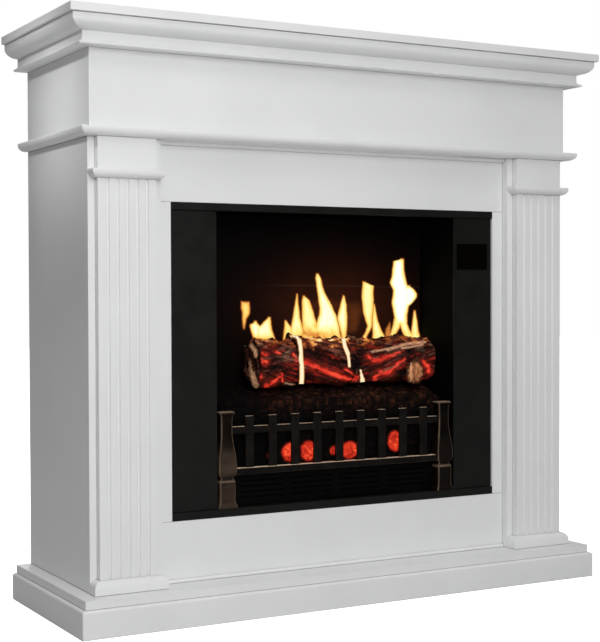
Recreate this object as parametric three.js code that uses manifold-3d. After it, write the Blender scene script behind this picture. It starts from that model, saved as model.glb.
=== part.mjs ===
// A white painted fireplace surround with a black electric fire in its opening.
// Millimetres, with X to the right, Y to the back and Z up.
// The origin is on the floor, in the middle of the object's width and depth.

import * as THREE from "three";
import { mergeVertices } from "three/addons/utils/BufferGeometryUtils.js";
import Module from "manifold-3d";

const wasm = await Module();
wasm.setup();

// Overall size
const WIDTH = 1120;
const DEPTH = 378;
const HEIGHT = 1056;
const GAP = 0.3; // joint between two pieces that touch
const BOARD = 18; // thickness of the plain boards

const BACK = DEPTH / 2;
const FRONT = -DEPTH / 2; // front edge of shelf and plinth

// Upright planes, from the front edge of the shelf backwards
const SHELF_OVERHANG = 51;
const FRIEZE_FRONT = FRONT + SHELF_OVERHANG;
const FRIEZE_HALF = 510; // half the width over the side boards
const PILASTER_FRONT = FRIEZE_FRONT - 4;
const LEG_FRONT = FRIEZE_FRONT + 10;
const FIELD_FRONT = FRIEZE_FRONT + 25;

// Heights of the base, the neck moulding, the crown and the shelf
const PLINTH_TOP = 49;
const STEP_TOP = 64;
const NECK_BOTTOM = 844;
const NECK_TOP = 859;
const CROWN_BOTTOM = 993;
const SHELF_BOTTOM = 1042;

// Legs and pilasters
const LEG_WIDTH = 135;
const PILASTER_CENTRE = 443;
const PILASTER_WIDTH = 108;
const FLUTES = 5;
const FLUTE_RADIUS = 3.2;
const BEAD_BOTTOM = 773;
const BEAD_TOP = 788;
const BEAD_REACH = 13;
const NECK_REACH = 20;
const NECK_FOOT = 6;
const BASE_TOP = 88;
const BASE_REACH = 14;

// Opening in the recessed field, and the boards around it
const OPENING_HALF = 350;
const OPENING_BOTTOM = 172.5;
const OPENING_TOP = 738;
const FIELD_THICKNESS = 15;

// Plinth and hearth board
const PLINTH_HALF = 546;
const STEP_HALF = 538;
const STEP_FRONT = FRONT + 7;

// Electric fire
const SHEET = 2; // folded steel of the fascia
const CASE_SHEET = 1.2; // thinner steel of the case
const FASCIA_HALF = OPENING_HALF - 0.5;
const FASCIA_BOTTOM = OPENING_BOTTOM + 0.5;
const FASCIA_TOP = OPENING_TOP - 0.5;
const FASCIA_RETURN = 20; // how far the top and bottom bars fold back
const PANEL_SETBACK = 5; // side panels behind the bars
const VIEW_HALF = 259; // half the width of the view of the fire
const VIEW_BOTTOM = 187;
const VIEW_TOP = 724.5;
const CASE_FRONT = FIELD_FRONT + FASCIA_RETURN + GAP;
const CASE_BACK = CASE_FRONT + 152;
const CASE_HALF = 345;
const CASE_BOTTOM = 175;
const CASE_TOP = 736;
const SCREEN_FRONT = 10;
const SCREEN_THICKNESS = 4;

// Grate, with its posts standing on the bottom bar
const POST_CENTRE = 238;
const POST_DEPTH = 24;
const POST_FRONT = FIELD_FRONT + 1;
const POST_BACK = POST_FRONT + POST_DEPTH;
const BARS = 9;
const BAR_PITCH = 47.7;
const BAR_WIDTH = 16;
const BAR_TOP = 352.5;
const BAR_FRONT = POST_FRONT + 8;
const BAR_BACK = BAR_FRONT + 5;
const RAIL_BACK = BAR_BACK + 6;
const UPPER_RAIL = [321, 333.5];
const LOWER_RAIL = [246, 258];

// Bed of coals behind the bars
const BED_HALF = 240;
const BED_FRONT = POST_BACK + 3;
const BED_BACK = SCREEN_FRONT - 4;
const BED_BOTTOM = CASE_BOTTOM + CASE_SHEET + GAP;
const BED_TOP = 390;
const BED_SLOPE = 22; // how much lower the bed is at the front

function standard(color, roughness, metalness) {
  return new THREE.MeshStandardMaterial({ color, roughness, metalness });
}

const paint = standard(0xf1f1ee, 0.4, 0);
const blackSteel = standard(0x1d1d1b, 0.45, 0.6);
const caseSteel = standard(0x8b8c8c, 0.5, 0.9);
const castIron = standard(0x2a2320, 0.55, 0.7);
const blackGlass = standard(0x050505, 0.08, 0);
const screenFilm = standard(0x0f0807, 0.35, 0);
const liner = standard(0x0d0b0a, 0.8, 0);
const bark = standard(0x4a2f24, 0.9, 0);
const ember = standard(0x2b1d18, 0.95, 0);

const mantelpiece = new THREE.Group();

function add(name, geometry, material) {
  const mesh = new THREE.Mesh(geometry, material);
  mesh.name = name;
  mantelpiece.add(mesh);
  return mesh;
}

// A board or sheet between two opposite corners.
function block(low, high) {
  const size = high.map((value, i) => value - low[i]);
  const geometry = new THREE.BoxGeometry(...size);
  geometry.translate(...low.map((value, i) => value + size[i] / 2));
  return geometry;
}

// Two places along an axis, the smaller first.
function ordered(a, b) {
  return a < b ? [a, b] : [b, a];
}

function signedVolume(geometry) {
  const solid = geometry.index ? geometry.toNonIndexed() : geometry;
  const at = solid.getAttribute("position");
  const [a, b, c] = [new THREE.Vector3(), new THREE.Vector3(), new THREE.Vector3()];
  let sum = 0;
  for (let i = 0; i < at.count; i += 3) {
    a.fromBufferAttribute(at, i);
    b.fromBufferAttribute(at, i + 1);
    c.fromBufferAttribute(at, i + 2);
    sum += a.dot(b.cross(c));
  }
  return sum / 6;
}

// Joins equal corners and turns the faces outward.
function welded(geometry) {
  geometry.deleteAttribute("normal");
  geometry.deleteAttribute("uv");
  const joined = mergeVertices(geometry, 1e-4);
  if (signedVolume(joined) < 0) {
    const order = joined.getIndex().array;
    for (let i = 0; i < order.length; i += 3) {
      [order[i + 1], order[i + 2]] = [order[i + 2], order[i + 1]];
    }
  }
  joined.computeVertexNormals();
  return joined;
}

// Carries an outline past a row of stations. The outline holds reach and height,
// and each station turns a reach into a place on the floor plan.
function swept(outline, stations, curveSegments = 6) {
  const steps = stations.length - 1;
  const geometry = new THREE.ExtrudeGeometry(outline, { depth: 1, steps, curveSegments, bevelEnabled: false });
  const at = geometry.getAttribute("position");
  for (let i = 0; i < at.count; i += 1) {
    const reach = at.getX(i);
    const height = at.getY(i);
    const station = stations[Math.round(at.getZ(i) * steps)];
    const [x, y] = station(reach);
    at.setXYZ(i, x, y, height);
  }
  return welded(geometry);
}

function toManifold(geometry) {
  const joined = welded(geometry);
  return new wasm.Manifold(new wasm.Mesh({
    numProp: 3,
    vertProperties: new Float32Array(joined.getAttribute("position").array),
    triVerts: new Uint32Array(joined.getIndex().array),
  }));
}

function fromManifold(solid) {
  const mesh = solid.getMesh();
  const geometry = new THREE.BufferGeometry();
  geometry.setAttribute("position", new THREE.BufferAttribute(new Float32Array(mesh.vertProperties), 3));
  geometry.setIndex(new THREE.BufferAttribute(new Uint32Array(mesh.triVerts), 1));
  geometry.computeVertexNormals();
  return geometry;
}

function union(geometries) {
  return geometries.map(toManifold).reduce((whole, next) => whole.add(next));
}

function cut(geometry, tools) {
  return fromManifold(toManifold(geometry).subtract(union(tools)));
}

// Three mitred lengths of one moulding round the front and both sides.
// half and front are the faces that the moulding is fixed to.
function mouldingRun(name, outline, half, front, material) {
  const mitre = GAP / 2;
  const left = (reach) => [-half - reach + mitre, front - reach];
  const right = (reach) => [half + reach - mitre, front - reach];
  add(`${name}_front`, swept(outline, [left, right]), material);
  for (const [side, sign] of [["left", -1], ["right", 1]]) {
    const start = (reach) => [sign * (half + reach), front - reach + mitre];
    const end = (reach) => [sign * (half + reach), BACK];
    add(`${name}_${side}`, swept(outline, [start, end]), material);
  }
}

// A length of moulding wrapped round the front and both edges of a pilaster.
function pilasterWrap(outline, centre) {
  const edge = PILASTER_WIDTH / 2;
  const back = LEG_FRONT - GAP;
  return swept(outline, [
    (reach) => [centre - edge - reach, back],
    (reach) => [centre - edge - reach, PILASTER_FRONT - reach],
    (reach) => [centre + edge + reach, PILASTER_FRONT - reach],
    (reach) => [centre + edge + reach, back],
  ]);
}

// Crown, from the bottom up: rounded lip, cove, flat fillet, ovolo.
function crownOutline() {
  const lipReach = 27;
  const lipRound = 2.5;
  const lipTop = CROWN_BOTTOM + 4;
  const coveTop = CROWN_BOTTOM + 11;
  const filletReach = 19;
  const ovoloBottom = 1017;
  const ovoloSpring = 1034;
  const ovoloReach = 44;
  const top = SHELF_BOTTOM - GAP;
  const outline = new THREE.Shape();
  outline.moveTo(GAP, CROWN_BOTTOM);
  outline.lineTo(lipReach - lipRound, CROWN_BOTTOM);
  outline.absarc(lipReach - lipRound, CROWN_BOTTOM + lipRound, lipRound, -Math.PI / 2, 0, false);
  outline.lineTo(lipReach, lipTop);
  outline.absellipse(lipReach, coveTop, lipReach - filletReach, coveTop - lipTop, -Math.PI / 2, -Math.PI, true);
  outline.lineTo(filletReach, ovoloBottom);
  const ovoloWidth = ovoloReach - filletReach;
  outline.absellipse(filletReach, ovoloSpring, ovoloWidth, ovoloSpring - ovoloBottom, -Math.PI / 2, 0, false);
  outline.lineTo(ovoloReach, top);
  outline.lineTo(GAP, top);
  outline.closePath();
  return outline;
}

// A small ovolo: flat on top, a short nose, then curving in to its foot.
function ovoloOutline(bottom, top, reach, foot) {
  const round = 2;
  const nose = top - 2 * round;
  const outline = new THREE.Shape();
  outline.moveTo(GAP, bottom);
  outline.lineTo(foot, bottom);
  outline.absellipse(foot, nose, reach - foot, nose - bottom, -Math.PI / 2, 0, false);
  outline.lineTo(reach, top - round);
  outline.absarc(reach - round, top - round, round, 0, Math.PI / 2, false);
  outline.lineTo(GAP, top);
  outline.closePath();
  return outline;
}

// Base moulding of a pilaster: upright below, quarter round above.
function baseOutline() {
  const spring = 74;
  const outline = new THREE.Shape();
  outline.moveTo(GAP, STEP_TOP + GAP);
  outline.lineTo(BASE_REACH, STEP_TOP + GAP);
  outline.lineTo(BASE_REACH, spring);
  outline.absellipse(GAP, spring, BASE_REACH - GAP, BASE_TOP - spring, 0, Math.PI / 2, false);
  outline.closePath();
  return outline;
}

function plinthOutline() {
  const round = 5;
  const top = PLINTH_TOP - GAP;
  const outline = new THREE.Shape();
  outline.moveTo(0, 0);
  outline.lineTo(BOARD, 0);
  outline.lineTo(BOARD, top - round);
  outline.absarc(BOARD - round, top - round, round, 0, Math.PI / 2, false);
  outline.lineTo(0, top);
  outline.closePath();
  return outline;
}

// A thin strip against the field, with one long edge rounded.
function stripOutline(bottom, top, reach, round, roundAtTop) {
  const outline = new THREE.Shape();
  outline.moveTo(GAP, bottom);
  if (roundAtTop) {
    outline.lineTo(reach, bottom);
    outline.lineTo(reach, top - round);
    outline.absarc(reach - round, top - round, round, 0, Math.PI / 2, false);
    outline.lineTo(GAP, top);
  } else {
    outline.lineTo(reach - round, bottom);
    outline.absarc(reach - round, bottom + round, round, -Math.PI / 2, 0, false);
    outline.lineTo(reach, top);
    outline.lineTo(GAP, top);
  }
  outline.closePath();
  return outline;
}

function flutedBoard(centre) {
  const low = [centre - PILASTER_WIDTH / 2, PILASTER_FRONT, STEP_TOP + GAP];
  const high = [centre + PILASTER_WIDTH / 2, LEG_FRONT - GAP, NECK_BOTTOM - GAP];
  const bottom = BASE_TOP - 8; // both ends of a flute run on behind the mouldings
  const top = BEAD_BOTTOM + 7;
  const pitch = PILASTER_WIDTH / (FLUTES + 1);
  const flutes = [];
  for (let i = 1; i <= FLUTES; i += 1) {
    const flute = new THREE.CylinderGeometry(FLUTE_RADIUS, FLUTE_RADIUS, top - bottom, 16);
    flute.rotateX(Math.PI / 2);
    flute.translate(low[0] + i * pitch, PILASTER_FRONT, (bottom + top) / 2);
    flutes.push(flute);
  }
  return cut(block(low, high), flutes);
}

function buildBase() {
  const inner = PLINTH_HALF - BOARD;
  mouldingRun("plinth", plinthOutline(), inner, FRONT + BOARD, paint);
  add("hearth_board", block([-STEP_HALF, STEP_FRONT, PLINTH_TOP], [STEP_HALF, BACK, STEP_TOP]), paint);
}

function buildTop() {
  add("shelf", block([-WIDTH / 2, FRONT, SHELF_BOTTOM], [WIDTH / 2, BACK, HEIGHT]), paint);
  mouldingRun("crown", crownOutline(), FRIEZE_HALF, FRIEZE_FRONT, paint);
  mouldingRun("neck", ovoloOutline(NECK_BOTTOM, NECK_TOP, NECK_REACH, NECK_FOOT), FRIEZE_HALF, FRIEZE_FRONT, paint);
  const top = SHELF_BOTTOM - GAP;
  const boardBack = FRIEZE_FRONT + BOARD;
  add("frieze_front", block([-FRIEZE_HALF, FRIEZE_FRONT, NECK_BOTTOM], [FRIEZE_HALF, boardBack, top]), paint);
  for (const [side, sign] of [["left", -1], ["right", 1]]) {
    const [x0, x1] = ordered(sign * FRIEZE_HALF, sign * (FRIEZE_HALF - BOARD));
    add(`frieze_${side}`, block([x0, boardBack + GAP, NECK_BOTTOM], [x1, BACK, top]), paint);
  }
}

function buildLegs() {
  const top = NECK_BOTTOM - GAP;
  const bottom = STEP_TOP + GAP;
  for (const [side, sign] of [["left", -1], ["right", 1]]) {
    const outer = sign * FRIEZE_HALF;
    const inner = sign * (FRIEZE_HALF - LEG_WIDTH);
    const boardInner = sign * (FRIEZE_HALF - BOARD);
    const [front0, front1] = ordered(outer, inner);
    const [side0, side1] = ordered(outer, boardInner);
    const centre = sign * PILASTER_CENTRE;
    add(`leg_front_${side}`, block([front0, LEG_FRONT, bottom], [front1, FIELD_FRONT - GAP, top]), paint);
    add(`side_${side}`, block([side0, FIELD_FRONT, bottom], [side1, BACK, top]), paint);
    add(`pilaster_${side}`, flutedBoard(centre), paint);
    const bead = ovoloOutline(BEAD_BOTTOM, BEAD_TOP, BEAD_REACH, GAP);
    add(`capital_bead_${side}`, pilasterWrap(bead, centre), paint);
    add(`pilaster_base_${side}`, pilasterWrap(baseOutline(), centre), paint);
  }
}

function buildField() {
  const joint = 0.5; // the fine line that shows where two field boards meet
  const half = FRIEZE_HALF - BOARD - GAP;
  const back = FIELD_FRONT + FIELD_THICKNESS;
  const top = NECK_BOTTOM - GAP;
  const bottom = STEP_TOP + GAP;
  add("field_top_rail", block([-half, FIELD_FRONT, OPENING_TOP], [half, back, top]), paint);
  add("field_bottom_rail", block([-half, FIELD_FRONT, bottom], [half, back, OPENING_BOTTOM]), paint);
  for (const [side, sign] of [["left", -1], ["right", 1]]) {
    const [x0, x1] = ordered(sign * half, sign * OPENING_HALF);
    const low = [x0, FIELD_FRONT, OPENING_BOTTOM + joint];
    add(`field_stile_${side}`, block(low, [x1, back, OPENING_TOP - joint]), paint);
  }
  const end = FRIEZE_HALF - LEG_WIDTH - GAP;
  const left = (reach) => [-end, FIELD_FRONT - reach];
  const right = (reach) => [end, FIELD_FRONT - reach];
  const head = { height: 7, reach: 8, round: 4 };
  const headOutline = stripOutline(top - head.height, top, head.reach, head.round, false);
  add("head_bead", swept(headOutline, [left, right]), paint);
  const foot = { height: 6, reach: 6, round: 5 };
  const footOutline = stripOutline(bottom, bottom + foot.height, foot.reach, foot.round, true);
  add("foot_bead", swept(footOutline, [left, right]), paint);
}

// A sheet folded once: an upright face, and a return to the back along its edge.
function foldedBar(bottom, top, returnAtTop) {
  const outline = new THREE.Shape();
  const fold = returnAtTop ? top : bottom;
  const inside = returnAtTop ? top - SHEET : bottom + SHEET;
  const free = returnAtTop ? bottom : top;
  outline.moveTo(0, free);
  outline.lineTo(0, fold);
  outline.lineTo(FASCIA_RETURN, fold);
  outline.lineTo(FASCIA_RETURN, inside);
  outline.lineTo(SHEET, inside);
  outline.lineTo(SHEET, free);
  outline.closePath();
  return swept(outline, [
    (depth) => [-FASCIA_HALF, FIELD_FRONT + depth],
    (depth) => [FASCIA_HALF, FIELD_FRONT + depth],
  ]);
}

function buildFascia() {
  add("fascia_top", foldedBar(VIEW_TOP, FASCIA_TOP, false), blackSteel);
  add("fascia_bottom", foldedBar(FASCIA_BOTTOM, VIEW_BOTTOM, true), blackSteel);
  const front = FIELD_FRONT + PANEL_SETBACK;
  for (const [side, sign] of [["left", -1], ["right", 1]]) {
    const [x0, x1] = ordered(sign * VIEW_HALF, sign * FASCIA_HALF);
    const low = [x0, front, VIEW_BOTTOM + GAP];
    const high = [x1, front + SHEET, VIEW_TOP - GAP];
    add(`fascia_${side}`, block(low, high), blackSteel);
  }
  const window = { left: 267, right: 340, bottom: 622, top: 673, thickness: 1.5 };
  const low = [window.left, front - GAP - window.thickness, window.bottom];
  add("display_window", block(low, [window.right, front - GAP, window.top]), blackGlass);
}

function buildCase() {
  const side = CASE_HALF - CASE_SHEET;
  const inside = side - GAP;
  const back = CASE_BACK - CASE_SHEET;
  for (const [name, sign] of [["left", -1], ["right", 1]]) {
    const [x0, x1] = ordered(sign * CASE_HALF, sign * side);
    add(`case_${name}`, block([x0, CASE_FRONT, CASE_BOTTOM], [x1, back - GAP, CASE_TOP]), caseSteel);
    const [l0, l1] = ordered(sign * VIEW_HALF, sign * (VIEW_HALF + CASE_SHEET));
    const low = [l0, FIELD_FRONT + PANEL_SETBACK + SHEET + GAP, VIEW_BOTTOM + GAP];
    add(`liner_${name}`, block(low, [l1, SCREEN_FRONT + SCREEN_THICKNESS, VIEW_TOP - GAP]), liner);
  }
  const floorTop = CASE_BOTTOM + CASE_SHEET;
  add("case_floor", block([-inside, CASE_FRONT, CASE_BOTTOM], [inside, back - GAP, floorTop]), caseSteel);
  add("case_top", block([-inside, CASE_FRONT, CASE_TOP - CASE_SHEET], [inside, back - GAP, CASE_TOP]), caseSteel);
  add("case_back", block([-CASE_HALF, back, CASE_BOTTOM], [CASE_HALF, CASE_BACK, CASE_TOP]), caseSteel);
  const edge = VIEW_HALF - GAP;
  const screenLow = [-edge, SCREEN_FRONT, VIEW_BOTTOM + GAP];
  add("flame_screen", block(screenLow, [edge, SCREEN_FRONT + SCREEN_THICKNESS, VIEW_TOP - GAP]), screenFilm);
}

// The outline of a flat cast post: half widths from the cap down to the foot, mirrored.
// grow widens the outline all round, for cutting a clearance.
function postOutline(grow) {
  const cap = 15.5 + grow;
  const underCap = 13.2 + grow;
  const waist = 12 + grow;
  const belly = 18.8 + grow;
  const neck = 12.7 + grow;
  const pedestal = 16.3 + grow;
  const foot = 19.5 + grow;
  const top = 362;
  const bottom = VIEW_BOTTOM + GAP;
  const right = new THREE.Path();
  right.moveTo(foot, bottom);
  right.lineTo(foot, bottom + 4);
  right.quadraticCurveTo(pedestal, bottom + 5, pedestal, bottom + 12);
  right.lineTo(pedestal, 233);
  right.quadraticCurveTo(pedestal, 239, neck, 241);
  right.quadraticCurveTo(belly, 246, belly, 262);
  right.bezierCurveTo(belly, 290, waist, 300, waist, 333);
  right.quadraticCurveTo(waist, 350, underCap, top - 5);
  right.lineTo(cap, top - 5);
  right.lineTo(cap, top);
  const points = right.getPoints(7);
  const mirrored = points.map((p) => new THREE.Vector2(-p.x, p.y)).reverse();
  return new THREE.Shape([...points, ...mirrored]);
}

function post(centre, grow) {
  const depth = POST_DEPTH + 2 * grow;
  const geometry = new THREE.ExtrudeGeometry(postOutline(grow), { depth, bevelEnabled: false });
  geometry.rotateX(Math.PI / 2);
  geometry.translate(centre, POST_BACK + grow, 0);
  return welded(geometry);
}

function buildGrate() {
  const ironwork = [];
  for (let i = 0; i < BARS; i += 1) {
    const centre = (i - (BARS - 1) / 2) * BAR_PITCH;
    const low = [centre - BAR_WIDTH / 2, BAR_FRONT, LOWER_RAIL[0] + 2];
    ironwork.push(block(low, [centre + BAR_WIDTH / 2, BAR_BACK, BAR_TOP]));
  }
  const lap = 1; // the rails are cast into the backs of the bars
  const reach = POST_CENTRE;
  ironwork.push(block([-reach, BAR_BACK - lap, UPPER_RAIL[0]], [reach, RAIL_BACK, UPPER_RAIL[1]]));
  ironwork.push(block([-reach, BAR_FRONT - 2, LOWER_RAIL[0]], [reach, RAIL_BACK, LOWER_RAIL[1]]));
  const posts = [post(-POST_CENTRE, GAP), post(POST_CENTRE, GAP)];
  add("grate_front", fromManifold(union(ironwork).subtract(union(posts))), castIron);
  add("grate_post_left", post(-POST_CENTRE, 0), castIron);
  add("grate_post_right", post(POST_CENTRE, 0), castIron);
}

function buildVentPanel() {
  const front = POST_BACK + GAP;
  const edge = VIEW_HALF - GAP;
  const rows = 4;
  const columns = 4;
  const slotWidth = 90;
  const slotHeight = 3;
  const rowPitch = 10;
  const columnPitch = 105;
  const middle = (VIEW_BOTTOM + LOWER_RAIL[0]) / 2;
  const slots = [];
  for (let row = 0; row < rows; row += 1) {
    for (let column = 0; column < columns; column += 1) {
      const x = (column - (columns - 1) / 2) * columnPitch;
      const z = middle + (row - (rows - 1) / 2) * rowPitch;
      const low = [x - slotWidth / 2, front - SHEET, z - slotHeight / 2];
      slots.push(block(low, [x + slotWidth / 2, front + 2 * SHEET, z + slotHeight / 2]));
    }
  }
  const panel = block([-edge, front, VIEW_BOTTOM + GAP], [edge, front + SHEET, LOWER_RAIL[0] - GAP]);
  add("vent_panel", cut(panel, slots), blackSteel);
}

// Rounded lumps of coal as a height over a surface, from two crossing waves.
function lumps(u, v, size) {
  const a = Math.abs(Math.sin((u + 0.35 * v) * Math.PI / size));
  const b = Math.abs(Math.sin((v - 0.2 * u) * Math.PI / (0.8 * size) + 0.7));
  return Math.sqrt(a * b);
}

function buildEmberBed() {
  const size = [2 * BED_HALF, BED_BACK - BED_FRONT, BED_TOP - BED_BOTTOM];
  const geometry = new THREE.BoxGeometry(...size, 34, 8, 12);
  geometry.translate(0, (BED_FRONT + BED_BACK) / 2, (BED_BOTTOM + BED_TOP) / 2);
  const at = geometry.getAttribute("position");
  const lumpSize = 38;
  const topRise = 10;
  const frontRise = 9;
  for (let i = 0; i < at.count; i += 1) {
    const [x, y, z] = [at.getX(i), at.getY(i), at.getZ(i)];
    const atFront = y < BED_FRONT + 1e-3;
    const atTop = z > BED_TOP - 1e-3;
    if (atTop) {
      const towardsBack = (y - BED_FRONT) / size[1];
      at.setZ(i, z - BED_SLOPE * (1 - towardsBack) ** 2 + topRise * lumps(x, y, lumpSize));
    }
    if (atFront) {
      const inward = frontRise * (1 - lumps(x, z, lumpSize));
      at.setY(i, y + inward);
    }
  }
  add("ember_bed", welded(geometry), ember);
}

// A log between two end points, a little bent, with a ribbed and knotted skin.
function logGeometry(from, to, radius, phase) {
  const axis = to.clone().sub(from);
  const length = axis.length();
  const around = 18;
  const along = 9;
  const geometry = new THREE.CylinderGeometry(radius, radius, length, around, along);
  const at = geometry.getAttribute("position");
  for (let i = 0; i < at.count; i += 1) {
    const [x, y, z] = [at.getX(i), at.getY(i), at.getZ(i)];
    const distance = Math.hypot(x, z);
    if (distance > 1e-6) {
      const angle = Math.atan2(z, x);
      const ribs = 0.05 * Math.cos(5 * angle + phase) + 0.03 * Math.cos(9 * angle - 2 * phase);
      const knots = 0.04 * Math.sin(y / 17 + phase) * Math.cos(2 * angle);
      const scale = 0.93 + ribs + knots;
      at.setX(i, x * scale + 0.06 * radius * Math.sin(Math.PI * (y / length + 0.5)));
      at.setZ(i, z * scale);
    }
  }
  const turn = new THREE.Quaternion().setFromUnitVectors(new THREE.Vector3(0, 1, 0), axis.normalize());
  geometry.applyQuaternion(turn);
  geometry.translate(...from.clone().add(to).multiplyScalar(0.5).toArray());
  return welded(geometry);
}

// Three logs on the bed. The right one has a sawn branch stub that points to the front.
// The heap of logs: a short one with a broken end, a split one that slopes down to the right,
// and a long one with a stub that points forward. Each stretch has two ends, a radius and a phase.
const LOGS = {
  log_left: [{ from: [-158, -50, 441], to: [-81, -48, 441], radius: 42, phase: 0.4 }],
  log_centre: [{ from: [-75, -46, 447], to: [47, -45, 440], radius: 43, phase: 2.1 }],
  log_right: [
    { from: [52, -41, 440], to: [236, -40, 439], radius: 42, phase: 3.8 },
    { from: [181, -88, 418], to: [184, -34, 424], radius: 24, phase: 5.5 },
  ],
};

function buildLogs() {
  for (const [name, stretches] of Object.entries(LOGS)) {
    const parts = stretches.map(({ from, to, radius, phase }) => (
      logGeometry(new THREE.Vector3(...from), new THREE.Vector3(...to), radius, phase)
    ));
    add(name, parts.length > 1 ? fromManifold(union(parts)) : parts[0], bark);
  }
}

buildBase();
buildTop();
buildLegs();
buildField();
buildFascia();
buildCase();
buildGrate();
buildVentPanel();
buildEmberBed();
buildLogs();

export default mantelpiece;
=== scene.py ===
# %% [markdown]
# # A white fireplace surround with an electric log fire
#
# The surround is painted fibreboard: a plinth, two legs with fluted pilasters, a frieze and a
# moulded shelf. A black steel fire stands in its opening, with a cast grate, a bed of coals,
# three logs and a dark panel at the back that shows flames.
#
# The solid model comes first and gives every place and size. This lesson dresses it: plain boards
# keep their solids and get eased edges and paint, while mouldings, flutes, bark, coals and flames
# are finer surfaces worked out as whole arrays.

# %% Load the solid model
import math

import bpy
import numpy as np
from mathutils import Matrix


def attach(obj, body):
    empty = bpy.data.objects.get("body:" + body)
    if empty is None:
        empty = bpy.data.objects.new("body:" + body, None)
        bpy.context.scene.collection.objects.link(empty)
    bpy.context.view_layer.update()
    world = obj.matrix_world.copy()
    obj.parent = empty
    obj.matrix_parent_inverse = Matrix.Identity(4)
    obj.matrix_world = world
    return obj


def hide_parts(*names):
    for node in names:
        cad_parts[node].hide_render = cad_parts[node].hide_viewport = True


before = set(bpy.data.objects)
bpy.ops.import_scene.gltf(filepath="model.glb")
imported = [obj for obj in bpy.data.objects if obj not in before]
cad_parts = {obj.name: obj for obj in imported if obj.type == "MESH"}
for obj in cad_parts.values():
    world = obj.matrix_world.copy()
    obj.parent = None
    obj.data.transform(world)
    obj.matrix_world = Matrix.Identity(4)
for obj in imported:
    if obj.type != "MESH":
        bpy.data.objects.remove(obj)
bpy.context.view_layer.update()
MM = 0.001

# %% [markdown]
# ## The camera
#
# The photograph looks at the surround from its front left, at about half its height. The camera
# could be aimed by hand until the picture looks right. Here its place and turn were worked out from
# the straight edges of the surround, so each edge falls where the photograph has it.

# %% Camera
CAMERA_PLACE = np.array([-1.3553, -2.3920, 0.5758])
CAMERA_YAW = math.radians(29.028)
CAMERA_PITCH = math.radians(1.273)
CAMERA_ROLL = math.radians(-0.168)
FOCAL_PIXELS = 1407.68
IMAGE_HEIGHT = 642
AXIS_DROP = 3.69  # how far below the picture's middle the lens points, in pixels
SENSOR = 36.0


def camera_axes(yaw, pitch, roll):
    """Right, up and forward of a camera that looks along +Y, turned to the right by yaw,
    down by pitch, and then rolled about its own line of sight."""
    reach, drop = math.cos(pitch), math.sin(pitch)
    ahead = np.array([math.sin(yaw) * reach, math.cos(yaw) * reach, -drop])
    level = np.array([math.cos(yaw), -math.sin(yaw), 0.0])
    above = np.cross(level, ahead)
    right = level * math.cos(roll) + above * math.sin(roll)
    up = above * math.cos(roll) - level * math.sin(roll)
    return right, up, ahead


def placed(across, up, back, place):
    """Matrix that turns an object's own three axes to the given ones and sets it at a place."""
    turn = np.eye(4)
    turn[:3] = np.stack([across, up, back, place], axis=-1)
    return Matrix(turn.tolist())


camera_data = bpy.data.cameras.new("photo_camera")
camera_data.sensor_width = SENSOR
camera_data.lens = FOCAL_PIXELS / IMAGE_HEIGHT * SENSOR
camera_data.shift_y = AXIS_DROP / IMAGE_HEIGHT
camera = bpy.data.objects.new("photo_camera", camera_data)
right, up, ahead = camera_axes(CAMERA_YAW, CAMERA_PITCH, CAMERA_ROLL)
camera.matrix_world = placed(right, up, -ahead, CAMERA_PLACE)
bpy.context.scene.collection.objects.link(camera)
bpy.context.scene.camera = camera
bpy.context.scene.view_settings.view_transform = "Standard"
print("lens", round(camera_data.lens, 2), "mm")

# %% [markdown]
# ## Meshes from arrays
#
# Every new piece is a grid of points that is worked out as one array. Blender's own modelling tools
# could make them too, but an array keeps the formula of the shape in view. Faces are turned outward
# by the sign of the volume that they enclose, so no piece can end up inside out.

# %% Faces of a grid
def grid_faces(rows, columns, wrap):
    """Four corner numbers for each cell of a grid of points that is kept row after row.
    With wrap, the last column is joined to the first."""
    numbers = np.arange(rows * columns).reshape(rows, columns)
    if wrap:
        numbers = np.hstack([numbers, numbers[:, :1]])
    corners = (numbers[:-1, :-1], numbers[:-1, 1:], numbers[1:, 1:], numbers[1:, :-1])
    return np.stack(corners, axis=-1).reshape(-1, 4)


def end_caps(rows, columns):
    """Corner numbers of the two faces that close a wrapped grid at its first and last row."""
    ring = np.arange(columns)
    return [ring[::-1], ring + (rows - 1) * columns]


def enclosed_volume(points, quads, caps):
    """Sum over triangles of a . (b x c) / 6, which is positive where faces point outward."""
    triangles = [quads[:, [0, 1, 2]], quads[:, [0, 2, 3]]]
    for cap in caps:
        fan = np.stack([np.full(len(cap) - 2, cap[0]), cap[1:-1], cap[2:]], axis=-1)
        triangles.append(fan)
    a, b, c = (points[np.concatenate(triangles)[:, i]] for i in range(3))
    return float(np.einsum("ij,ij->i", a, np.cross(b, c)).sum() / 6)


print("a wrapped grid of 3 by 4 points has", len(grid_faces(3, 4, True)), "faces")

# %% From arrays to a mesh
CREASE = math.radians(28)
SHARP_EDGE = math.radians(40)
WELD_GAP = 1e-5


def lay_mesh(name, points, quads, caps, nodes, material):
    """Puts points (in millimetres) and faces into a new object that stands for some nodes."""
    points = np.asarray(points, float).reshape(-1, 3)
    faces = quads.tolist() + [list(map(int, cap)) for cap in caps]
    if enclosed_volume(points, quads, caps) < 0:
        faces = [face[::-1] for face in faces]
    mesh = bpy.data.meshes.new(name)
    mesh.from_pydata((points * MM).tolist(), [], faces)
    mesh.shade_smooth()
    mesh.set_sharp_from_angle(angle=CREASE)
    piece = bpy.data.objects.new(name, mesh)
    bpy.context.scene.collection.objects.link(piece)
    mesh.materials.append(material)
    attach(piece, "root")
    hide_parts(*nodes)
    return piece


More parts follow.
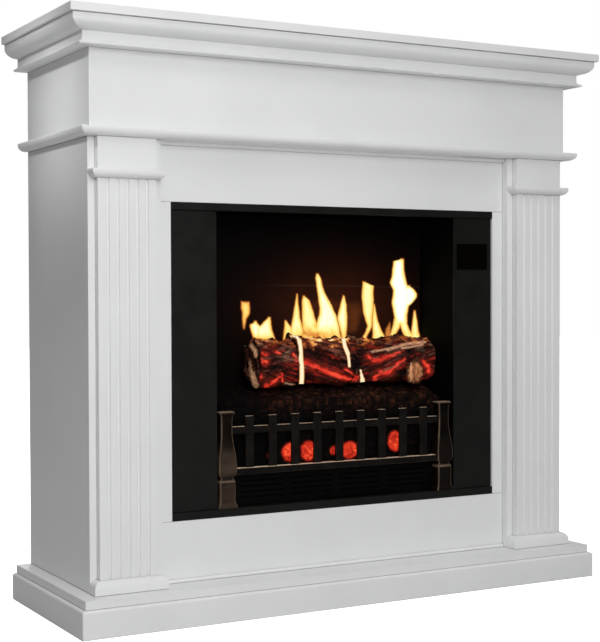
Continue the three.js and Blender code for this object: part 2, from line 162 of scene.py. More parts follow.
def lay_tube(name, points, nodes, material):
    """Lays a grid whose rows are closed rings, with both ends capped."""
    rows, columns, _ = points.shape
    faces = grid_faces(rows, columns, True)
    return lay_mesh(name, points, faces, end_caps(rows, columns), nodes, material)


def paint_points(piece, name, colours):
    """Keeps one colour for each point of a piece as an attribute that a material can read."""
    rgba = np.ones((len(piece.data.vertices), 4), np.float32)
    rgba[:, :3] = np.clip(colours, 0, 1)
    layer = piece.data.color_attributes.new(name, "FLOAT_COLOR", "POINT")
    layer.data.foreach_set("color", rgba.ravel())


def ease_edges(piece, width, weld, strip_slot=-1):
    """Takes the sharpness off every edge, as sanding and paint do. The last argument is the material
    slot that the eased strip shows, or -1 for the same as beside it."""
    if weld:
        joiner = piece.modifiers.new("join_corners", "WELD")
        joiner.merge_threshold = WELD_GAP
    bevel = piece.modifiers.new("eased_edges", "BEVEL")
    bevel.limit_method = "ANGLE"
    bevel.angle_limit = SHARP_EDGE
    bevel.width = width * MM
    bevel.segments = 2
    bevel.material = strip_slot


print("edges sharper than", round(math.degrees(SHARP_EDGE)), "degrees are eased")

# %% [markdown]
# ## Random-looking numbers that never change
#
# Bark, coals and flames need irregular patterns. A random number generator could give them, but a
# pattern that comes from the point's own place is the same on every run. The numbers at the corners
# of a lattice are scrambled by a sine, and smoothed between the corners.

# %% Noise from the place of a point
def scramble(i, j, seed):
    """Fraction left after a large sine: looks random, and depends on i, j and seed alone."""
    wave = np.sin(i * 127.1 + j * 311.7 + seed * 74.7) * 43758.5453
    return wave - np.floor(wave)


def soft_noise(u, v, seed):
    """Lattice numbers from 0 to 1, eased between corners by 3t^2 - 2t^3."""
    i, j = np.floor(u), np.floor(v)
    s, t = u - i, v - j
    s, t = s * s * (3 - 2 * s), t * t * (3 - 2 * t)
    low = scramble(i, j, seed) * (1 - s) + scramble(i + 1, j, seed) * s
    high = scramble(i, j + 1, seed) * (1 - s) + scramble(i + 1, j + 1, seed) * s
    return low * (1 - t) + high * t


def rough_noise(u, v, seed, octaves=4):
    """Soft noise added to itself at double the pitch and half the height, from 0 to 1."""
    total, weight = 0.0, 0.0
    for octave in range(octaves):
        share = 0.5 ** octave
        total = total + share * soft_noise(u * 2 ** octave, v * 2 ** octave, seed + 17 * octave)
        weight += share
    return total / weight


def shake(u, v, wide, tall, seed, size):
    """Rough noise of a width and a height about zero, up to half of size to either side."""
    return size * (rough_noise(u / wide, v / tall, seed) - 0.5)


def pebbles(u, v, seed):
    """Rounded lumps: height 1 at a lump's own centre, falling as a dome to 0 between lumps.
    Returns the height and a number from 0 to 1 that belongs to the nearest lump."""
    i, j = np.floor(u), np.floor(v)
    nearest = np.full(np.shape(u), 9.0)
    owner = np.zeros(np.shape(u))
    for di in (-1, 0, 1):
        for dj in (-1, 0, 1):
            ci, cj = i + di, j + dj
            x = ci + 0.15 + 0.7 * scramble(ci, cj, seed)
            y = cj + 0.15 + 0.7 * scramble(ci, cj, seed + 5)
            away = np.hypot(u - x, v - y)
            closer = away < nearest
            owner = np.where(closer, scramble(ci, cj, seed + 9), owner)
            nearest = np.where(closer, away, nearest)
    return np.sqrt(np.clip(1 - (nearest / 0.85) ** 2, 0, 1)), owner


def step_between(low, high, value):
    """0 below low, 1 above high, and a smooth climb between."""
    t = np.clip((value - low) / (high - low), 0, 1)
    return t * t * (3 - 2 * t)


def blend_colours(stops, amount):
    """Colour for each amount, read off a list of (amount, red, green, blue) stops."""
    stops = np.array(stops)
    return np.stack([np.interp(amount, stops[:, 0], stops[:, k]) for k in (1, 2, 3)], axis=-1)


print("noise", round(float(soft_noise(np.array(2.3), np.array(7.9), 1)), 4))

# %% [markdown]
# ## Finishes
#
# Several finishes share one effect: a fine unevenness, which is orange peel in paint, grain in
# powder coat and pitting in cast iron. It is a node group with its own scale, so each material places
# it once. The group gives a height for the bump and a slow drift for colour and gloss.

# %% Placing shader nodes
def place_node(tree, kind, values=None, feeds=None):
    """Adds a shader node, sets constant values on its sockets and leads other sockets into it."""
    node = tree.nodes.new(kind)
    for socket, value in (values or {}).items():
        node.inputs[socket].default_value = value
    for socket, source in (feeds or {}).items():
        tree.links.new(source, node.inputs[socket])
    return node


def climb(tree, source, start, stop, low=0.0, high=1.0):
    """Value that goes from low to high while the source goes from start to stop."""
    values = {"From Min": start, "From Max": stop, "To Min": low, "To Max": high}
    return place_node(tree, "ShaderNodeMapRange", values, {"Value": source}).outputs["Result"]


def shade_between(tree, source, start, dark, stop, light):
    """Colour that goes from dark to light while the source goes from start to stop."""
    node = place_node(tree, "ShaderNodeValToRGB", None, {"Fac": source})
    for element, position, colour in zip(node.color_ramp.elements, (start, stop), (dark, light)):
        element.position = position
        element.color = (*colour, 1)
    return node.outputs["Color"]


def read_points(tree, name):
    """Node that reads what the points keep under a name."""
    reader = tree.nodes.new("ShaderNodeAttribute")
    reader.attribute_name = name
    return reader


def start_material(name):
    """A new material with its tree of nodes and its shader."""
    material = bpy.data.materials.new(name)
    material.use_nodes = True
    return material, material.node_tree, material.node_tree.nodes["Principled BSDF"]


def feed_shader(tree, shader, feeds):
    """Leads sockets into the named sockets of a shader."""
    for socket, source in feeds.items():
        tree.links.new(source, shader.inputs[socket])


print("helpers for shader nodes ready")

# %% The shared unevenness
def build_unevenness():
    """Two noises on the object's own coordinates: a fine one for the height and a broad one
    for slow changes of tone."""
    group = bpy.data.node_groups.new("fine_unevenness", "ShaderNodeTree")
    for way, names in (("INPUT", ("Fine Scale", "Broad Scale")), ("OUTPUT", ("Height", "Drift"))):
        for name in names:
            group.interface.new_socket(name, in_out=way, socket_type="NodeSocketFloat")
    entry = group.nodes.new("NodeGroupInput")
    leave = group.nodes.new("NodeGroupOutput")
    place = group.nodes.new("ShaderNodeTexCoord")
    for scale, detail, output in (("Fine Scale", 2.0, "Height"), ("Broad Scale", 4.0, "Drift")):
        feeds = {"Vector": place.outputs["Object"], "Scale": entry.outputs[scale]}
        noise = place_node(group, "ShaderNodeTexNoise", {"Detail": detail}, feeds)
        group.links.new(noise.outputs["Fac"], leave.inputs[output])
    return group


def add_grain(tree, fine, broad, bump):
    """Places the unevenness in a material. Gives its drift, and a normal that its height bumps
    by so many millimetres."""
    grain = tree.nodes.new("ShaderNodeGroup")
    grain.node_tree = unevenness
    grain.inputs["Fine Scale"].default_value = fine
    grain.inputs["Broad Scale"].default_value = broad
    values = {"Strength": 1.0, "Distance": bump * MM}
    relief = place_node(tree, "ShaderNodeBump", values, {"Height": grain.outputs["Height"]})
    return grain.outputs["Drift"], relief.outputs["Normal"]


unevenness = build_unevenness()
print("group", unevenness.name, [socket.name for socket in unevenness.interface.items_tree])

# %% [markdown]
# A finish is then one Principled shader. Its colour and its roughness each run between two values
# along the slow drift, and the fine height bumps the surface. How strongly it mirrors is one number
# on the shader.

# %% One function for the plain finishes
DRIFT_LOW = 0.3
DRIFT_HIGH = 0.7


def finish(name, dark, light, rough, fine, broad, bump, specular=0.5):
    """Material whose colour goes from dark to light, and whose roughness goes from the first
    to the second value of rough, along the broad drift; bump is the fine height in millimetres."""
    material, tree, shader = start_material(name)
    drift, normal = add_grain(tree, fine, broad, bump)
    feed_shader(tree, shader, {"Base Color": shade_between(tree, drift, DRIFT_LOW, dark, DRIFT_HIGH, light),
                               "Roughness": climb(tree, drift, DRIFT_LOW, DRIFT_HIGH, *rough),
                               "Normal": normal})
    shader.inputs["Specular IOR Level"].default_value = specular
    return material


print("finishes drift between", DRIFT_LOW, "and", DRIFT_HIGH)

# %% [markdown]
# The narrow joints between boards are darkened with painted shade, and the iron of the grate shows
# bronze where it is rubbed, with a painted highlight where it looks up. Both are a second colour laid
# over a finish by a mask. For the joints the mask could be painted by hand, but how much room a point
# has around it gives the same lines of shade by itself.

# %% A second colour over a finish
# Painted shade in narrow joints: how far it reaches, where it starts and is full, and its colour.
JOINT_REACH = 4.0
JOINT_OPEN = 0.58
JOINT_CLOSED = 0.1
JOINT_SHADE = (0.08, 0.08, 0.08)


def lay_over(material, amount, colour):
    """Mixes a colour into a finish by an amount that a socket gives from 0 to 1."""
    tree = material.node_tree
    base = tree.nodes["Principled BSDF"].inputs["Base Color"]
    mix = tree.nodes.new("ShaderNodeMix")
    mix.data_type = "RGBA"
    mix.inputs["B"].default_value = (*colour, 1)
    tree.links.new(amount, mix.inputs["Factor"])
    tree.links.new(base.links[0].from_socket, mix.inputs["A"])
    tree.links.new(mix.outputs["Result"], base)
    return material


def paint_joint_shade(material, reach, colour):
    """Paints shade into narrow joints as a darker colour: the mask is high where other surfaces take
    most of the room within a reach in millimetres."""
    tree = material.node_tree
    room = place_node(tree, "ShaderNodeAmbientOcclusion", {"Distance": reach * MM})
    room.samples = 4
    return lay_over(material, climb(tree, room.outputs["AO"], JOINT_OPEN, JOINT_CLOSED), colour)


print("joints are shaded within", JOINT_REACH, "mm")

# %% The plain finishes
white_paint = finish("white_paint", (0.795, 0.8, 0.8), (0.835, 0.84, 0.84), (0.36, 0.44), 420, 6, 0.06)
black_steel = finish("black_steel", (0.0036, 0.0039, 0.0031), (0.0058, 0.0062, 0.005), (0.4, 0.5),
                     1500, 20, 0.05, 0.22)
display = finish("display", (0.0016, 0.0014, 0.001), (0.0024, 0.0021, 0.0015), (0.06, 0.1),
                 60, 15, 0.005, 0.12)
liner = finish("liner", (0.0008, 0.0006, 0.0005), (0.0018, 0.0013, 0.0011), (0.7, 0.85),
               900, 12, 0.1, 0.05)
grate_iron = finish("grate_iron", (0.003, 0.0023, 0.0018), (0.009, 0.0066, 0.005), (0.42, 0.55),
                    700, 30, 0.2, 0.1)
vent_black = finish("vent_black", (0.0009, 0.0008, 0.0006), (0.002, 0.0018, 0.0015), (0.5, 0.65),
                    1500, 20, 0.05, 0.06)
# The white paint gets painted shade in its joints, under mouldings and in inside corners.
paint_joint_shade(white_paint, JOINT_REACH, JOINT_SHADE)
plain_finishes = (white_paint, black_steel, display, liner, grate_iron, vent_black)
print("finishes", [material.name for material in plain_finishes])

# %% [markdown]
# The steel case behind the fire is galvanised. Zinc freezes into flat crystals of different gloss,
# which cells of a Voronoi pattern show well.

# %% Galvanised steel
def galvanised(dark, light):
    """Metal whose tone and roughness change from one zinc crystal to the next."""
    material, tree, shader = start_material("case_steel")
    place = tree.nodes.new("ShaderNodeTexCoord")
    crystals = place_node(tree, "ShaderNodeTexVoronoi", {"Scale": 90}, {"Vector": place.outputs["Object"]})
    apart = place_node(tree, "ShaderNodeSeparateColor", None, {"Color": crystals.outputs["Color"]})
    feed_shader(tree, shader, {"Base Color": shade_between(tree, apart.outputs["Red"], 0, dark, 1, light),
                               "Roughness": climb(tree, apart.outputs["Green"], 0, 1, 0.34, 0.52)})
    shader.inputs["Metallic"].default_value = 1.0
    return material


case_steel = galvanised((0.36, 0.37, 0.38), (0.50, 0.51, 0.52))
print("finish", case_steel.name)

# %% [markdown]
# Bark, coals and the flame panel carry their own colours, point by point: one attribute for the
# colour of the stuff and one for the light that it gives. The material reads both.

# %% Finishes that read their colours from the points
GLOW_DRIFT = 25


def glowing(name, rough, strength, fine, bump, specular=0.3):
    """Material with base colour from the attribute "tone" and light from the attribute "glow"."""
    material, tree, shader = start_material(name)
    drift, normal = add_grain(tree, fine, GLOW_DRIFT, bump)
    feed_shader(tree, shader, {"Base Color": read_points(tree, "tone").outputs["Color"],
                               "Emission Color": read_points(tree, "glow").outputs["Color"],
                               "Roughness": climb(tree, drift, 0, 1, *rough), "Normal": normal})
    shader.inputs["Emission Strength"].default_value = strength
    shader.inputs["Specular IOR Level"].default_value = specular
    return material


bark = glowing("bark", (0.7, 0.95), 1.0, 900, 0.8, 0.12)
embers = glowing("embers", (0.75, 0.95), 1.2, 1100, 0.8, 0.1)
screen = glowing("screen", (0.5, 0.6), 1.05, 200, 0.02, 0.05)
print("finishes", bark.name, embers.name, screen.name)

# %% [markdown]
# ## Boards and sheets that keep their solids
#
# A board's solid already has the right shape, so a second model of it would add nothing. Its edges
# are too sharp, though: real boards are sanded before painting, and an eased edge catches a thin
# line of light. A weld joins the loose triangles first, and a narrow bevel then rounds each edge.
# The zinc of the case shows only outside. Its faces towards the fire are matt black, like the liner.

# %% Boards and sheets
BOARDS = ["shelf", "hearth_board", "frieze_front", "frieze_left", "frieze_right", "side_left", "side_right",
          "leg_front_left", "leg_front_right", "field_top_rail", "field_bottom_rail", "field_stile_left",
          "field_stile_right"]
FASCIA = ["fascia_top", "fascia_bottom", "fascia_left", "fascia_right"]
CASE = ["case_left", "case_right", "case_floor", "case_top", "case_back"]
LINERS = ["liner_left", "liner_right"]
FIRE_MIDDLE = np.array([0.0, -60.0, 450.0])


def dress(names, material, easing, edge=None):
    """Gives each solid its finish and eases its edges by so many millimetres. With edge, the
    eased strips have that finish."""
    for name in names:
        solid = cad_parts[name]
        solid.data.materials.clear()
        solid.data.materials.append(material)
        if edge:
            solid.data.materials.append(edge)
        ease_edges(solid, easing, True, 1 if edge else -1)


def blacken_inside(names):
    """Gives the faces that look at the middle of the firebox a second, matt black finish."""
    for name in names:
        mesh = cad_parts[name].data
        mesh.materials.append(liner)
        normals = np.empty(3 * len(mesh.polygons), np.float32)
        centres = np.empty(3 * len(mesh.polygons), np.float32)
        mesh.polygons.foreach_get("normal", normals)
        mesh.polygons.foreach_get("center", centres)
        towards = FIRE_MIDDLE * MM - centres.reshape(-1, 3)
        inside = np.einsum("ij,ij->i", normals.reshape(-1, 3), towards) > 0
        mesh.polygons.foreach_set("material_index", inside.astype(np.int32))


dress(BOARDS, white_paint, 0.7)
dress(FASCIA, black_steel, 0.35)
dress(CASE, case_steel, 0.2)
blacken_inside(CASE)
dress(["vent_panel"], vent_black, 0.3)
dress(["display_window"], display, 0.4)
dress(LINERS, liner, 0.2)
print("dressed", len(BOARDS), "boards,", len(FASCIA + CASE + LINERS), "sheets, a vent panel and a window")

# %% [markdown]
# ## Mouldings
#
# A moulding is planed or milled with one outline along its whole length and mitred at the corners.
# So the outline is drawn once as reach and height, and carried past the stations of its path. At a
# mitre the station lets a longer reach go further round the corner, which is all that a mitre is.

# %% Outlines of the mouldings
JOINT = 0.3
FRONT = -189.0
BACK = 189.0
FRIEZE_FRONT = -138.0
FRIEZE_HALF = 510.0
PLINTH_INSIDE = 528.0
PLINTH_THICK = 18.0
PILASTER_FRONT = -142.0
LEG_FRONT = -128.0
FIELD_FRONT = -113.0
HEARTH_TOP = 64.3
NECK_BOTTOM = 844.0
NECK_TOP = 859.0
NECK_REACH = 20
NECK_FOOT = 6


def arc(reach, height, wide, tall, start, end, count):
    """Points of an ellipse about (reach, height) from one angle to another, in degrees."""
    angle = np.radians(np.linspace(start, end, count))
    return np.stack([reach + wide * np.cos(angle), height + tall * np.sin(angle)], axis=-1)


def outline(*parts):
    """One closed outline from corners and arcs, in order."""
    return np.vstack([np.atleast_2d(part) for part in parts])


def crown_outline():
    """From the bottom up: a rounded lip, a cove, a flat fillet and a broad ovolo."""
    return outline((JOINT, 993), arc(24.5, 995.5, 2.5, 2.5, -90, 0, 7), arc(27, 1004, 8, 7, -90, -180, 12),
                   arc(19, 1034, 25, 17, -90, 0, 20), (44, 1041.7), (JOINT, 1041.7))


def ovolo_outline(bottom, top, reach, foot):
    """Flat on top, a small rounded nose, then a quarter ellipse in to the foot."""
    nose = top - 4
    return outline((JOINT, bottom), arc(foot, nose, reach - foot, nose - bottom, -90, 0, 14),
                   arc(reach - 2, top - 2, 2, 2, 0, 90, 7), (JOINT, top))


def base_outline(bottom, reach):
    """Upright below, then a quarter ellipse back to the pilaster."""
    upright = bottom + 9.7
    return outline((JOINT, bottom), (reach, bottom), arc(JOINT, upright, reach - JOINT, 14, 0, 90, 14))


def plinth_outline():
    """A board on edge with its top front corner rounded over."""
    return outline((0, 0), (PLINTH_THICK, 0), arc(PLINTH_THICK - 5, 43.7, 5, 5, 0, 90, 9), (0, 48.7))


print("crown outline", len(crown_outline()), "points")

# %% Carrying an outline along a path
def carried(shape, stations):
    """Grid of points: each row is the outline at one station, which turns reach into x and y."""
    reach, height = shape[:, 0], shape[:, 1]
    rows = [np.stack([*np.broadcast_arrays(*station(reach)), height], axis=-1) for station in stations]
    return np.stack(rows)


def lay_moulding(name, shape, stations):
    """Mesh of a carried outline with both ends closed, painted and eased."""
    piece = lay_tube(name + "_fine", carried(shape, stations), [name], white_paint)
    ease_edges(piece, 0.5, False)
    return piece


def three_sides(name, shape, half, front):
    """The front length of a moulding and its two returns to the wall, mitred where they meet."""
    cut = JOINT / 2
    lay_moulding(name + "_front", shape, [lambda r: (-half - r + cut, front - r),
                                          lambda r: (half + r - cut, front - r)])
    for side, sign in (("left", -1), ("right", 1)):
        lay_moulding(f"{name}_{side}", shape, [lambda r, s=sign: (s * (half + r), front - r + cut),
                                               lambda r, s=sign: (s * (half + r), BACK)])


three_sides("crown", crown_outline(), FRIEZE_HALF, FRIEZE_FRONT)
neck_outline = ovolo_outline(NECK_BOTTOM, NECK_TOP, NECK_REACH, NECK_FOOT)
three_sides("neck", neck_outline, FRIEZE_HALF, FRIEZE_FRONT)
three_sides("plinth", plinth_outline(), PLINTH_INSIDE, FRONT + PLINTH_THICK)
print("mitred mouldings laid")

# %% Mouldings round the pilasters and along the field
PILASTER_CENTRES = {"left": -443.0, "right": 443.0}
PILASTER_HALF = 54.0
CAPITAL_BOTTOM = 773
CAPITAL_TOP = 788
CAPITAL_REACH = 13
BASE_REACH = 14


def wrapped(centre):
    """Stations round one pilaster: back, front corner, front corner, back."""
    back = LEG_FRONT - JOINT
    low, high = centre - PILASTER_HALF, centre + PILASTER_HALF
    return [lambda r: (low - r, back), lambda r: (low - r, PILASTER_FRONT - r),
            lambda r: (high + r, PILASTER_FRONT - r), lambda r: (high + r, back)]


for side, centre in PILASTER_CENTRES.items():
    lay_moulding(f"capital_bead_{side}", ovolo_outline(CAPITAL_BOTTOM, CAPITAL_TOP, CAPITAL_REACH, JOINT),
                 wrapped(centre))
    lay_moulding(f"pilaster_base_{side}", base_outline(HEARTH_TOP, BASE_REACH), wrapped(centre))

FIELD_HALF = 374.7
along_field = [lambda r: (-FIELD_HALF, FIELD_FRONT - r), lambda r: (FIELD_HALF, FIELD_FRONT - r)]
head_top = NECK_BOTTOM - JOINT
head_outline = outline((JOINT, head_top - 7), arc(4, head_top - 3, 4, 4, -90, 0, 8), (8, head_top),
                       (JOINT, head_top))
foot_outline = outline((JOINT, HEARTH_TOP), (6, HEARTH_TOP), arc(1, HEARTH_TOP + 1, 5, 5, 0, 90, 9),
                       (JOINT, HEARTH_TOP + 6))
lay_moulding("head_bead", head_outline, along_field)
lay_moulding("foot_bead", foot_outline, along_field)
print("pilaster mouldings and field beads laid")

# %% [markdown]
# ## Fluted pilasters
#
# Each pilaster is a flat board with five narrow grooves, cut with a round cutter that stops short of
# both ends. A boolean could cut them, but the section of the board is the same for most of its
# height, so it is one more outline: straight runs with five half circles sunk into the front. Where
# the cutter stops, behind the base and the bead, the half circles flatten out and the block above is
# plain.

# %% Pilasters
FLUTES = 5
FLUTE_RADIUS = 3.2
FLUTE_START = 80.0
FLUTE_STOP = 780.0


def fluted_section(centre, sunk):
    """Closed outline on the floor plan: the front edge with five half circles, then the back.
    sunk is 1 for the full depth of the circles and 0 for a plain front."""
    pitch = 2 * PILASTER_HALF / (FLUTES + 1)
    low, high = centre - PILASTER_HALF, centre + PILASTER_HALF
    lip = np.radians(np.linspace(180, 0, 13))
    grooves = []
    for number in range(1, FLUTES + 1):
        middle = low + number * pitch
        depth = PILASTER_FRONT + sunk * FLUTE_RADIUS * np.sin(lip)
        grooves.append(np.stack([middle + FLUTE_RADIUS * np.cos(lip), depth], axis=-1))
    back = LEG_FRONT - JOINT
    return outline((low, back), (low, PILASTER_FRONT), *grooves, (high, PILASTER_FRONT), (high, back))


def lay_pilaster(side, centre):
    """The section carried from the hearth board up to the neck moulding, plain at both ends."""
    top = NECK_BOTTOM - JOINT
    heights = [HEARTH_TOP, FLUTE_START - 1, FLUTE_START, FLUTE_STOP, FLUTE_STOP + 1, top]
    rows = []
    for height, sunk in zip(heights, (0, 0, 1, 1, 0, 0)):
        section = fluted_section(centre, sunk)
        rows.append(np.column_stack([section, np.full(len(section), height)]))
    name = f"pilaster_{side}"
    piece = lay_tube(name + "_fine", np.stack(rows), [name], white_paint)
    ease_edges(piece, 0.4, False)


for side, centre in PILASTER_CENTRES.items():
    lay_pilaster(side, centre)
print("pilasters with", FLUTES, "flutes each")

# %% [markdown]
# ## The cast grate
# The bars and rails keep their solid. Its eased edges show bronze where the dark finish is rubbed
# off, and faces and edges that look up get a pale painted highlight, as light from above gives. Its eased
# edges show bronze where the dark finish has worn,
# most of all where they look up.
#
# The two posts that carry them have a cap, a slim waist, a belly and a block at the foot. Turning a
# profile would make them round, but they are flat castings, so a rounded section is carried up
# instead. Its half width follows the outline of the post, and the front draws back where the post is
# slim. The attribute "wear" says how much bronze shows. Part of it is where the dark finish has rubbed
# off, and part is painted highlight and sheen on the rims, the cap, the collar, the belly and the block.

# %% Rubbed iron, and the bars
# The first colour is a pale painted highlight for grate faces and edges that look up. The second is bronze
# for the posts, shown where rubbed and as painted highlight and sheen.
UPPER_FACE_HIGHLIGHT = (1.0, 0.74, 0.52)
POST_BRONZE = (0.42, 0.29, 0.2)


def rubbed_and_lit_iron():
    """Dark cast iron that turns to bronze where the attribute "wear" is high: bare metal where rubbed, and
    painted highlight and sheen.
    """
    material = finish("post_iron", (0.0018, 0.0012, 0.0009), (0.0065, 0.0042, 0.003), (0.36, 0.5),
                      700, 30, 0.2, 0.05)
    wear_and_highlight = read_points(material.node_tree, "wear_and_highlight")
    return lay_over(material, wear_and_highlight.outputs["Fac"], POST_BRONZE)


def paint_upper_highlight(material, pale):
    """Paints a pale bronze highlight where a face or an edge looks up, as light from above gives."""
    tree = material.node_tree
    outward = tree.nodes.new("ShaderNodeNewGeometry")
    parts = place_node(tree, "ShaderNodeSeparateXYZ", None, {"Vector": outward.outputs["Normal"]})
    return lay_over(material, climb(tree, parts.outputs["Z"], 0.2, 0.6), pale)


post_iron = rubbed_and_lit_iron()
# Eased strips of the bars show rubbed bronze. Faces and strips that look up get a pale painted highlight.
edge_wear_and_highlight = finish("edge_wear_and_highlight", (0.02, 0.014, 0.01), (0.09, 0.063, 0.045), (0.3, 0.45),
                     900, 60, 0.1, 0.3)
paint_upper_highlight(edge_wear_and_highlight, UPPER_FACE_HIGHLIGHT)
paint_upper_highlight(grate_iron, UPPER_FACE_HIGHLIGHT)
dress(["grate_front"], grate_iron, 2.1, edge_wear_and_highlight)
print("bars dressed in", grate_iron.name, "and", edge_wear_and_highlight.name)

# %% Posts
POST_CENTRE = 238.0
POST_FRONT = -112.0
POST_BACK = -88.0
POST_WIDEST = 19.5
POST_CAP_EDGE = (359.5, 361.5)
POST_COLLAR = 235.5
POST_BELLY = 268
POST_BLOCK = (238, 226)
POST_WIDTHS = [(187.3, 19.5), (191.3, 19.5), (196, 16.9), (199.3, 16.3), (233, 16.3), (237, 15.4),
               (240, 13), (242, 13), (246, 16.6), (252, 18.3), (262, 18.8), (276, 17.9), (290, 15.9),
               (305, 13.4), (320, 12.2), (340, 12.1), (351, 12.6), (356.6, 13.2), (357.2, 15.5),
               (360.5, 15.5), (362, 14.6)]


def lay_post(side, centre, sheen):
    """Rounded section at each height: two back corners and two quarter ellipses in front. sheen
    is how much painted sheen shows in bronze on the belly and the block."""
    widths = np.array(POST_WIDTHS)
    low, high = widths[0, 0], widths[-1, 0]
    z = np.unique(np.concatenate([np.linspace(low, high, 90), widths[:, 0]]))
    half = np.interp(z, widths[:, 0], widths[:, 1])[:, None]
    front = POST_FRONT + 0.8 * (POST_WIDEST - half)
    turn = np.radians(np.linspace(180, 90, 9))
    corner_x, corner_y = 5 * np.cos(turn) + 5, 4 - 4 * np.sin(turn)
    flat = np.zeros(half.shape)
    x = np.hstack([-half, -half + corner_x, half - corner_x[::-1], half]) + centre
    y = np.hstack([flat + POST_BACK, front + corner_y, front + corner_y[::-1], flat + POST_BACK])
    points = np.stack([x, y, np.broadcast_to(z[:, None], x.shape)], axis=-1)
    name = f"grate_post_{side}"
    piece = lay_tube(name + "_cast", points, [name], post_iron)
    arris = np.sin(2 * turn) ** 6
    corner = np.concatenate([[0.0], arris, arris[::-1], [0.0]])
    # Painted highlight on the rounded rims, the cap's top edge and the collar, and painted sheen on the
    # belly and the block, mixed with rubbed bronze and broken up by noise.
    upper = np.maximum(step_between(*POST_CAP_EDGE, z), 0.5 * np.exp(-((z - POST_COLLAR) / 2.0) ** 2))
    full = sheen * np.maximum(np.exp(-((z - POST_BELLY) / 28) ** 2), 0.7 * step_between(*POST_BLOCK, z))
    rub_and_highlight = np.maximum(np.maximum(0.4 * corner[None, :], 0.9 * upper[:, None]), full[:, None])
    rub_and_highlight = rub_and_highlight * (0.1 + 1.3 * rough_noise(points[..., 0] / 3, points[..., 2] / 20, 72))
    paint_points(piece, "wear_and_highlight", np.repeat(rub_and_highlight.reshape(-1, 1), 3, axis=1))
    return piece


# The left post gets far more painted sheen than the right one, which stays nearly black.
lay_post("left", -POST_CENTRE, 0.15)
lay_post("right", POST_CENTRE, 0.012)
print("two cast posts,", len(POST_WIDTHS), "heights in their outline")

# %% [markdown]
# ## Logs
#
# The logs of an electric fire are cast in resin from real wood: split faces, rough bark, pale broken
# ends, and clear red cracks that a lamp behind them lights up. Each one is a tube. Its radius is the
# solid's own, roughened by long ridges of bark. The colour follows the depth of the ridges and fine
# streaks along the grain, and painted shade darkens it at the lower edge.

# %% A log's surface
ALONG = 150
AROUND = 170
CAP_ROWS = 16
BARK_STOPS = [(0.0, 0.0006, 0.0003, 0.0002), (0.35, 0.004, 0.0012, 0.0008), (0.6, 0.03, 0.006, 0.0034),
              (0.82, 0.085, 0.019, 0.011), (1.0, 0.2, 0.065, 0.04)]
RED_WOOD = [(0.0, 0.004, 0.0012, 0.001), (0.5, 0.05, 0.012, 0.008), (1.0, 0.2, 0.07, 0.05)]
WARM_WOOD = [(0.0, 0.05, 0.013, 0.006), (0.5, 0.27, 0.1, 0.042), (1.0, 0.55, 0.28, 0.15)]
PALE_WOOD = np.array([0.55, 0.31, 0.19])
# A painted glow that makes the pale splinters look brightly lit.
SPLINTER_LIGHT = np.array([0.36, 0.185, 0.095])
# Painted light along the upper edge of the logs, from the flames behind.
RIM_LIGHT_STOPS = [(0.0, 0.0, 0.0, 0.0), (0.2, 0.06, 0.01, 0.003), (0.4, 0.3, 0.065, 0.013),
               (0.7, 0.85, 0.33, 0.07), (1.0, 1.0, 0.8, 0.34)]
CRACK_STOPS = [(0, 0, 0, 0), (0.2, 0.045, 0.004, 0.002), (0.5, 0.36, 0.018, 0.01), (0.8, 0.7, 0.03, 0.016),
               (1, 0.9, 0.075, 0.035)]
LICK_STOPS = [(0, 0, 0, 0), (0.3, 0.3, 0.08, 0.02), (0.6, 1.0, 0.62, 0.25), (1, 1.0, 0.9, 0.62)]
PALE_ASH = np.array([0.22, 0.135, 0.085])
# Painted glow for the bare wood of a log end: none, or warm.
NO_LIGHT = (0.0, 0.0, 0.0)
WARM_LIGHT = (0.3, 0.11, 0.045)


